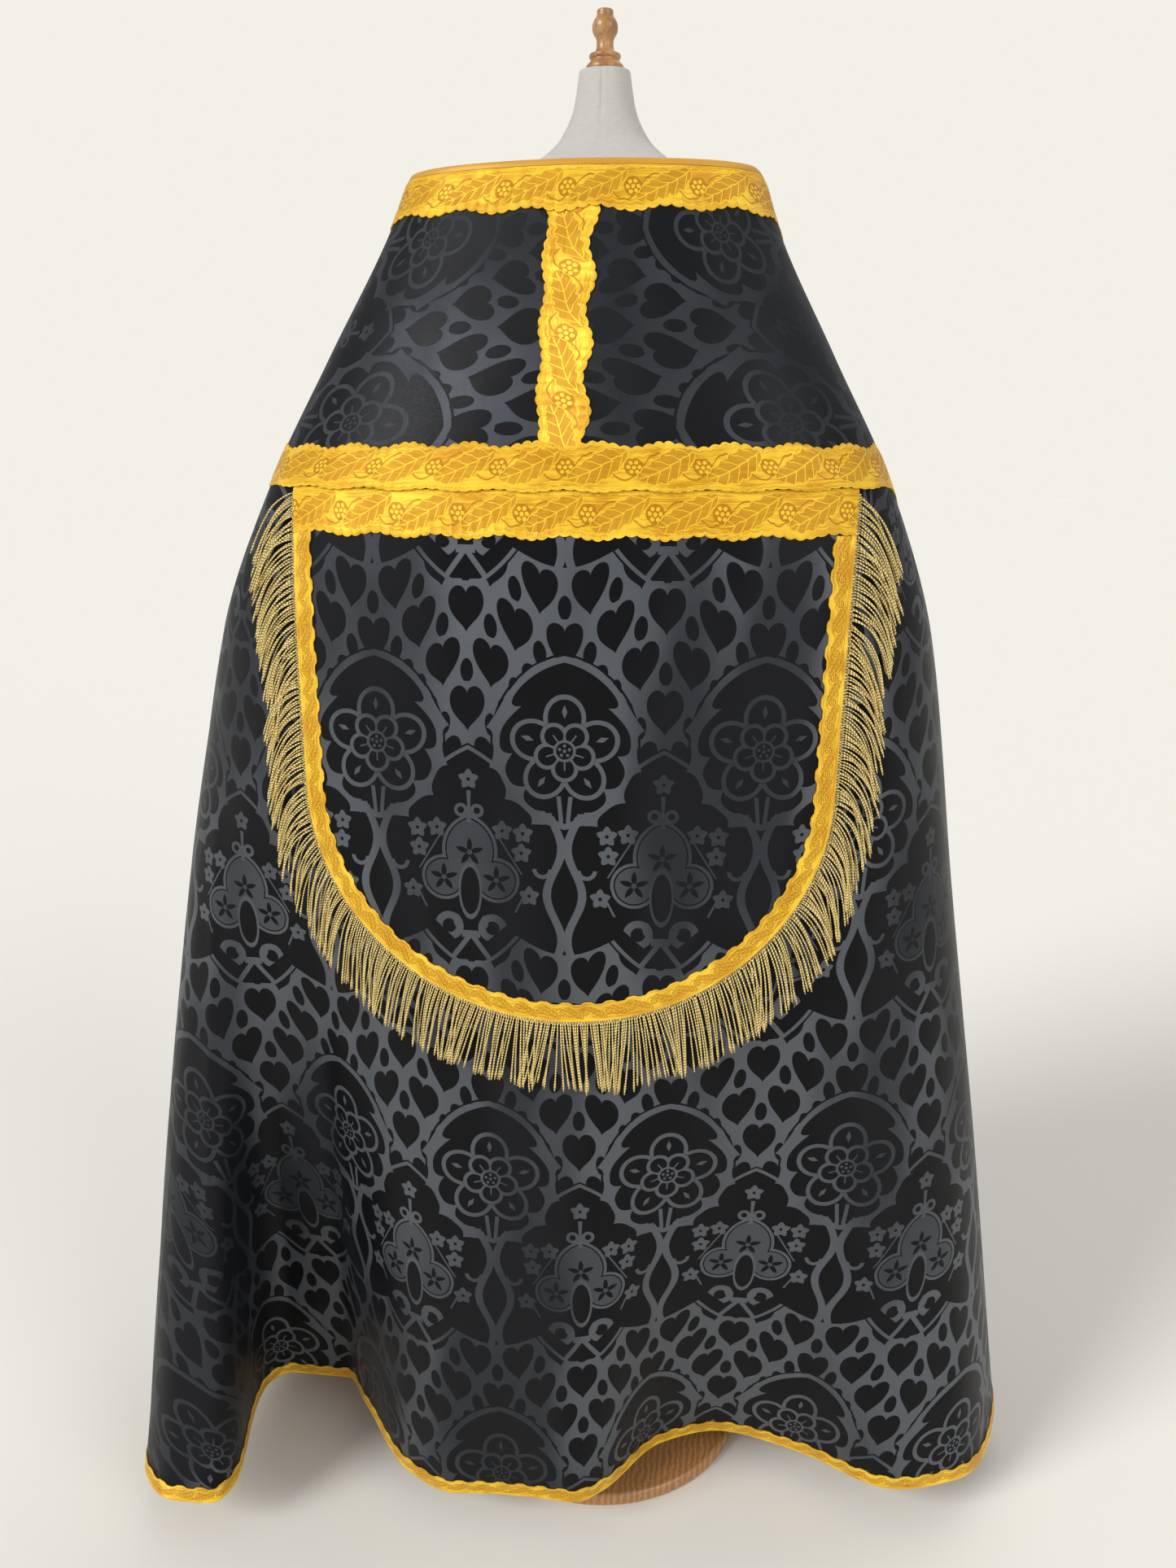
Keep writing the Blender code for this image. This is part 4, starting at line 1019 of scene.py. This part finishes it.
centre_tuck = 0.006
centre_top, centre_low = NECK_HEIGHT - WIDE_GALLOON + centre_tuck, SEAM_HEIGHT + WIDE_GALLOON - centre_tuck
centre_height = centre_top + (centre_low - centre_top) * np.linspace(0, 1, 190)
centre_run = (centre_top - centre_height) * 1.05
centre_edge = WIDE_GALLOON / 2 + 0.0012 + 0.8 * scalloped(centre_run, 0.0)
centre_sway = 0.0026 * np.sin(2 * math.pi * centre_run / spray_length + 0.6)
centre_x = centre_sway[:, None] + centre_edge[:, None] * np.linspace(1, -1, ribbon_cells + 1)[None, :]
centre_grid = on_back(centre_x, centre_height[:, None] + 0 * centre_x)
lay_ribbon(
    "galloon_wide_centre", "galloon_centre", centre_grid, 0.0, wide_finish
)

top_x = np.linspace(-HOOD_TOP_WIDTH, HOOD_TOP_WIDTH, 440)
top_edge = WIDE_GALLOON + 0.8 * scalloped(top_x * 1.02, 2.6)
top_height = SEAM_HEIGHT - SEAM_GAP - top_edge[:, None] * ribbon_share
narrowing = (HOOD_TOP_WIDTH - HOOD_LOW_WIDTH) / HOOD_STRAIGHT * (SEAM_HEIGHT - top_height) / HOOD_TOP_WIDTH
top_grid = on_back(top_x[:, None] * (1 - narrowing), top_height)
top_grid = top_grid[0] + top_grid[1] * (HOOD_OUT + 0.0002), top_grid[1]
lay_ribbon("galloon_wide_hood", "galloon_hood_top", top_grid, 0.0, wide_finish)


# Narrow galloon
# The same weave in two narrower ribbons: 21 mm round the hood, straight outside and scalloped inside, and
# 17 mm along the hem.

NARROW_GALLOON, HEM_GALLOON = 0.021, 0.017
narrow_repeat = 0.0255
narrow_cells = 8
narrow_gold = make_gold_galloon(
    "gold_galloon_narrow", narrow_repeat, NARROW_GALLOON / 2, (1.0, 0.65, 0.050), (0.60, 0.260, 0.006)
)
narrow_finish = narrow_gold, NARROW_GALLOON


def narrow_edge(along):
    """How far a narrow galloon's worked edge stands out."""
    picot = np.abs(np.sin(math.pi * along / 0.0085))
    return 0.0016 * np.cos(2 * math.pi * along / narrow_repeat) + 0.0009 * picot


ring_count, picot_out = 620, 0.0006
edge_length = float(hood_outline(np.array([0.0]))[2])
ring_start = (WIDE_GALLOON + 0.001) / edge_length
ring_shares = np.linspace(ring_start, 1 - ring_start, ring_count)
ring_run = ring_shares * edge_length
ring_in = NARROW_GALLOON - picot_out + narrow_edge(ring_run)
ring_across = np.linspace(0, 1, narrow_cells + 1)
ring_places = np.stack([hood_outline(ring_shares, -ring_in * share)[0] for share in ring_across], axis=1)
ring_grid = on_back(ring_places[..., 0], ring_places[..., 1])
ring_grid = ring_grid[0] + ring_grid[1] * (HOOD_OUT + 0.0001), ring_grid[1]
lay_ribbon(
    "galloon_narrow_hood", "galloon_hood_edge", ring_grid, 0.0, narrow_finish, True
)

hem_place, trim_gap = 2.999, 0.003
for name, node, start, end, count in (
    ("galloon_hem_round", "galloon_hem", -143.6, 143.6, 1000),
    ("galloon_hem_front_left", "galloon_hem_left", 0, 0, 90),
    ("galloon_hem_front_right", "galloon_hem_right", 0, 0, 90),
):
    if start:
        around = np.linspace(start, end, count)
    else:
        front, _, outer, _ = (float(part[0]) for part in strip_lines(np.array([hem_place])))
        hem_width = np.linalg.norm(worn_shape(front, HEM_HEIGHT) - worn_shape(outer, HEM_HEIGHT))
        inwards = (outer - front) * (WIDE_GALLOON + trim_gap) / hem_width
        trim_ends = (outer - inwards, front + inwards)
        around = np.linspace(*(trim_ends if "right" in name else (-trim_ends[1], -trim_ends[0])), count)
    hem_run = travel(worn_shape(around, HEM_HEIGHT + 0 * around))
    even = np.interp(np.linspace(0, hem_run[-1], count), hem_run, around)
    hem_run = np.linspace(0, hem_run[-1], count)
    top = HEM_GALLOON - picot_out + narrow_edge(hem_run)
    rise = top[:, None] * np.linspace(1, 0, narrow_cells + 1)[None, :]
    hem_grid = worn_grid(even[:, None] + 0 * rise, HEM_HEIGHT + rise)
    lay_ribbon(name, node, hem_grid, 0.0, narrow_finish)


# Neck binding
# A bias strip of dark gold satin folded over the neck edge, which stands 8 mm above the galloon.

BINDING, NECK_SHARE = 0.008, 0.78  # the neck's edge has this share of the length of the strip's middle
dark_satin = make_gold_satin("dark_gold_satin", (0.56, 0.26, 0.012), (0.70, 0.36, 0.025))
bind_places, bind_length = places_between(-1.84, 1.84, 0.004)
bind_edge = strip_grid(bind_places, 0.0, 0.06, 4)
bind_away = bind_edge[0][:, 0] - bind_edge[0][:, 1]
bind_away /= np.linalg.norm(bind_away, axis=-1, keepdims=True)
bind_rise = np.array([BINDING, BINDING * 0.9, BINDING * 0.6, BINDING * 0.3, 0.001])
bind_round = np.array([-0.0006, -0.0001, 0.0003, 0.0002, 0.0])
bind_normals = np.repeat(bind_edge[1][:, :1], len(bind_rise), axis=1)
bind_points = bind_edge[0][:, :1] + bind_away[:, None] * bind_rise[None, :, None]
bind_points = bind_points + bind_normals * bind_round[None, :, None]
bind_flat = ribbon_flat(bind_points, BINDING)
binding = sew("satin_binding", (bind_points, bind_normals), -CLOTH, 0.0, (dark_satin, dark_satin), bind_flat)
take_place(binding, "binding_neck")


# Bullion fringe
# Twisted cords of pale gold thread, 80 mm long, hang close together from a woven heading sewn behind the
# hood's edge. They leave the sides of the U sideways and droop over each other.

FRINGE_LENGTH, FRINGE_OUT = 0.080, 0.0026
strand_count, strand_radius = 540, 0.00082
strand_steps, strand_sides = 12, 6
strand_pitch, strand_root, heading_places = 0.0032, 0.0014, (0.0010, 0.0025, 0.0040)


def make_bullion():
    """Two-ply twisted metal thread: stripes that wind round each cord, with painted shade in the grooves."""
    thread = Finish("gold_bullion", Metallic=0.12, Specular_IOR_Level=0.7)
    round_cord, down_cord = thread.cloth_place()
    twist = ((round_cord + down_cord / strand_pitch) * (2 * math.pi)).sine()
    ply = thread.ramp(twist, -0.95, 0.30)
    uneven = thread.noise(thread.place(), 240.0, 1.0)
    light = thread.mix(uneven, (0.92, 0.70, 0.22), (1.0, 0.86, 0.42))
    # Painted shade: the grooves between the plies are painted dark brown, and the plies take the thread's
    # gold
    thread.feed("Base Color", thread.mix(ply, (0.36, 0.22, 0.048), light))
    thread.feed("Roughness", 0.44 - 0.10 * ply)
    thread.relief(ply, 0.0006)
    return thread.material


gold_bullion = make_bullion()
rng = np.random.default_rng(11)
fringe_start = 0.004
share = fringe_start + (1 - 2 * fringe_start) * (np.arange(strand_count) + 0.5) / strand_count
share += rng.normal(0, 0.12, strand_count) / strand_count
flat, away, _ = hood_outline(share, strand_root)
heading = np.degrees(np.arctan2(-away[:, 1], np.abs(away[:, 0])))
side = np.where(away[:, 0] >= 0, 1.0, -1.0)
clump = np.convolve(rng.normal(0, 1, strand_count + 8), np.ones(9) / 3, "valid")
heading += 7.0 * clump * np.clip((90 - heading) / 60, 0.4, 1) + rng.normal(0, 4.5, strand_count)
length = FRINGE_LENGTH * (1 + 0.035 * clump + rng.normal(0, 0.02, strand_count))
droop = np.clip(0.45 - 0.22 * np.clip(heading / 45, 0, 1) + rng.normal(0, 0.06, strand_count), 0.15, 0.7)
end_lean = 84 + 4 * clump + rng.normal(0, 2.5, strand_count)
lift = 0.0006 + 0.0052 * rng.random(strand_count) ** 1.2
lift *= np.where(heading < 70, 1.25, 0.8)
angle, height = back_angle(flat[:, 0], flat[:, 1]), flat[:, 1].copy()
path = []
for step in range(strand_steps + 1):
    along = step / strand_steps
    raise_out = FRINGE_OUT - 0.0004 + lift * np.clip(3.2 * along, 0, 1)
    path.append(smooth_shape(angle, height) + outward(smooth_shape, angle, height) * raise_out[:, None])
    turned_down = np.clip(1.25 * (along + 0.5 / strand_steps), 0, 1) ** droop
    dip = np.radians(heading + (end_lean - heading) * turned_down)
    width = np.linalg.norm(smooth_shape(angle + 0.5, height) - smooth_shape(angle - 0.5, height), axis=-1)
    piece_length = length / strand_steps
    angle = angle + side * piece_length * np.cos(dip) / width
    height = height - piece_length * np.sin(dip)
path = np.stack(path, axis=1)
forward = np.gradient(path, axis=1)
forward /= np.linalg.norm(forward, axis=-1, keepdims=True)
facing = outward(smooth_shape, back_angle(path[..., 0], path[..., 2]), path[..., 2])
across = np.cross(forward, facing)
across /= np.linalg.norm(across, axis=-1, keepdims=True)
facing = np.cross(across, forward)
turn = 2 * math.pi * np.arange(strand_sides) / strand_sides
thick = np.full(strand_steps + 1, strand_radius)
thick[-2:] *= (1.45, 0.75)
thick[0] *= 0.8
rings = (
    path[:, :, None]
    + thick[None, :, None, None]
    * (across[:, :, None] * np.cos(turn)[:, None] + facing[:, :, None] * np.sin(turn)[:, None])
)
ring_places = np.stack(
    [
        np.broadcast_to(turn / (2 * math.pi), rings.shape[:3]),
        np.broadcast_to((length[:, None] * np.linspace(0, 1, strand_steps + 1))[:, :, None], rings.shape[:3]),
    ],
    axis=-1,
)
strand_points = rings.reshape(-1, 3)
strand_flat = ring_places.reshape(-1, 2)
first = np.arange(strand_count)[:, None, None] * (strand_steps + 1) * strand_sides
ring_first = first + np.arange(strand_steps)[None, :, None] * strand_sides
corner = np.arange(strand_sides)[None, None, :]
corner_next = (corner + 1) % strand_sides
strand_faces = np.stack(
    [
        ring_first + corner,
        ring_first + corner_next,
        ring_first + strand_sides + corner_next,
        ring_first + strand_sides + corner,
    ],
    axis=-1,
).reshape(-1, 4)
caps = []
for strand in range(strand_count):
    root = strand * (strand_steps + 1) * strand_sides
    tip = root + strand_steps * strand_sides
    caps += [(root + 3, root + 2, root + 1, root), (root + 5, root + 4, root + 3, root)]
    caps += [(tip, tip + 1, tip + 2, tip + 3), (tip, tip + 3, tip + 4, tip + 5)]
fringe = add_mesh(
    "bullion_fringe", strand_points, np.concatenate([strand_faces, np.array(caps)]), gold_bullion, strand_flat
)
fringe.data.set_sharp_from_angle(angle=math.radians(120))

heading_shares = np.linspace(fringe_start, 1 - fringe_start, 420)
heading_rows = np.stack([hood_outline(heading_shares, beyond)[0] for beyond in heading_places], axis=1)
heading_grid = on_back(heading_rows[..., 0], heading_rows[..., 1])
heading_down = heading_shares[:, None] * edge_length + 0 * heading_rows[..., 0]
heading_flat = np.stack([0 * heading_down, heading_down], axis=-1)
heading_band = sew(
    "fringe_heading", heading_grid, FRINGE_OUT - 0.0010, FRINGE_OUT - 0.0002, (gold_bullion, gold_bullion),
    heading_flat,
)
for piece in (fringe, heading_band):
    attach(piece, "root")
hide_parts("fringe_hood")


# Pale floor and backdrop, soft studio light and the camera
# One level floor runs out to a round backdrop of the same pale colour. The backdrop neither lights the
# object nor shades it.

pale = (0.896, 0.871, 0.799, 1.0)
bpy.ops.object.select_all(action="DESELECT")
bpy.ops.mesh.primitive_circle_add(vertices=96, radius=29.0, fill_type="NGON", location=(0.0, 0.0, -0.0005))
floor = bpy.context.object
floor.name = floor.data.name = "floor"
floor_colour = (0.920, 0.894, 0.816, 1.0)
floor_finish = Finish("pale_floor", Base_Color=floor_colour, Roughness=1.0, Specular_IOR_Level=0.0)
floor.data.materials.append(floor_finish.material)
bpy.ops.object.select_all(action="DESELECT")
bpy.ops.mesh.primitive_uv_sphere_add(segments=64, ring_count=32, radius=28.0, location=(0.0, 0.0, 0.0))
backdrop = bpy.context.object
backdrop.name = backdrop.data.name = "backdrop"
backdrop_finish = Finish(
    "pale_backdrop",
    Base_Color=(0.0, 0.0, 0.0, 1.0),
    Emission_Color=pale,
    Emission_Strength=1.0,
    Specular_IOR_Level=0.0,
)
backdrop.data.materials.append(backdrop_finish.material)
backdrop.visible_diffuse = backdrop.visible_glossy = backdrop.visible_shadow = False

world = bpy.data.worlds.new("pale_room")
world.use_nodes = True
air = world.node_tree.nodes["Background"].inputs
air["Color"].default_value, air["Strength"].default_value = (0.98, 0.98, 1.0, 1.0), 0.38
bpy.context.scene.world = world
bpy.context.scene.view_settings.view_transform = "Standard"


def add_soft_light(name, side, rise, width, strength):
    """A far soft light, by its bearing from -Y towards +X, its height and its width, all in degrees."""
    light = bpy.data.lights.new(name, "SUN")
    light.energy, light.angle = strength, math.radians(width)
    lamp = bpy.data.objects.new(name, light)
    lamp.rotation_euler = (math.radians(90 - rise), 0.0, math.radians(side))
    bpy.context.scene.collection.objects.link(lamp)


add_soft_light("key_light", -48.0, 30.0, 24.0, 2.20)
add_soft_light("fill_light", 52.0, 22.0, 36.0, 1.00)
add_soft_light("top_light", 160.0, 56.0, 50.0, 0.50)

view = bpy.data.cameras.new("photo_view")
view.sensor_fit, view.sensor_height, view.lens = "VERTICAL", 36.0, 29.0
view.clip_start = 0.05
photo_camera = bpy.data.objects.new("photo_view", view)
photo_camera.location = (0.193, -1.4875, 1.32)
photo_camera.rotation_euler = (math.radians(90 - 15.5), 0.0, math.radians(7.4))
bpy.context.scene.collection.objects.link(photo_camera)
bpy.context.scene.camera = photo_camera
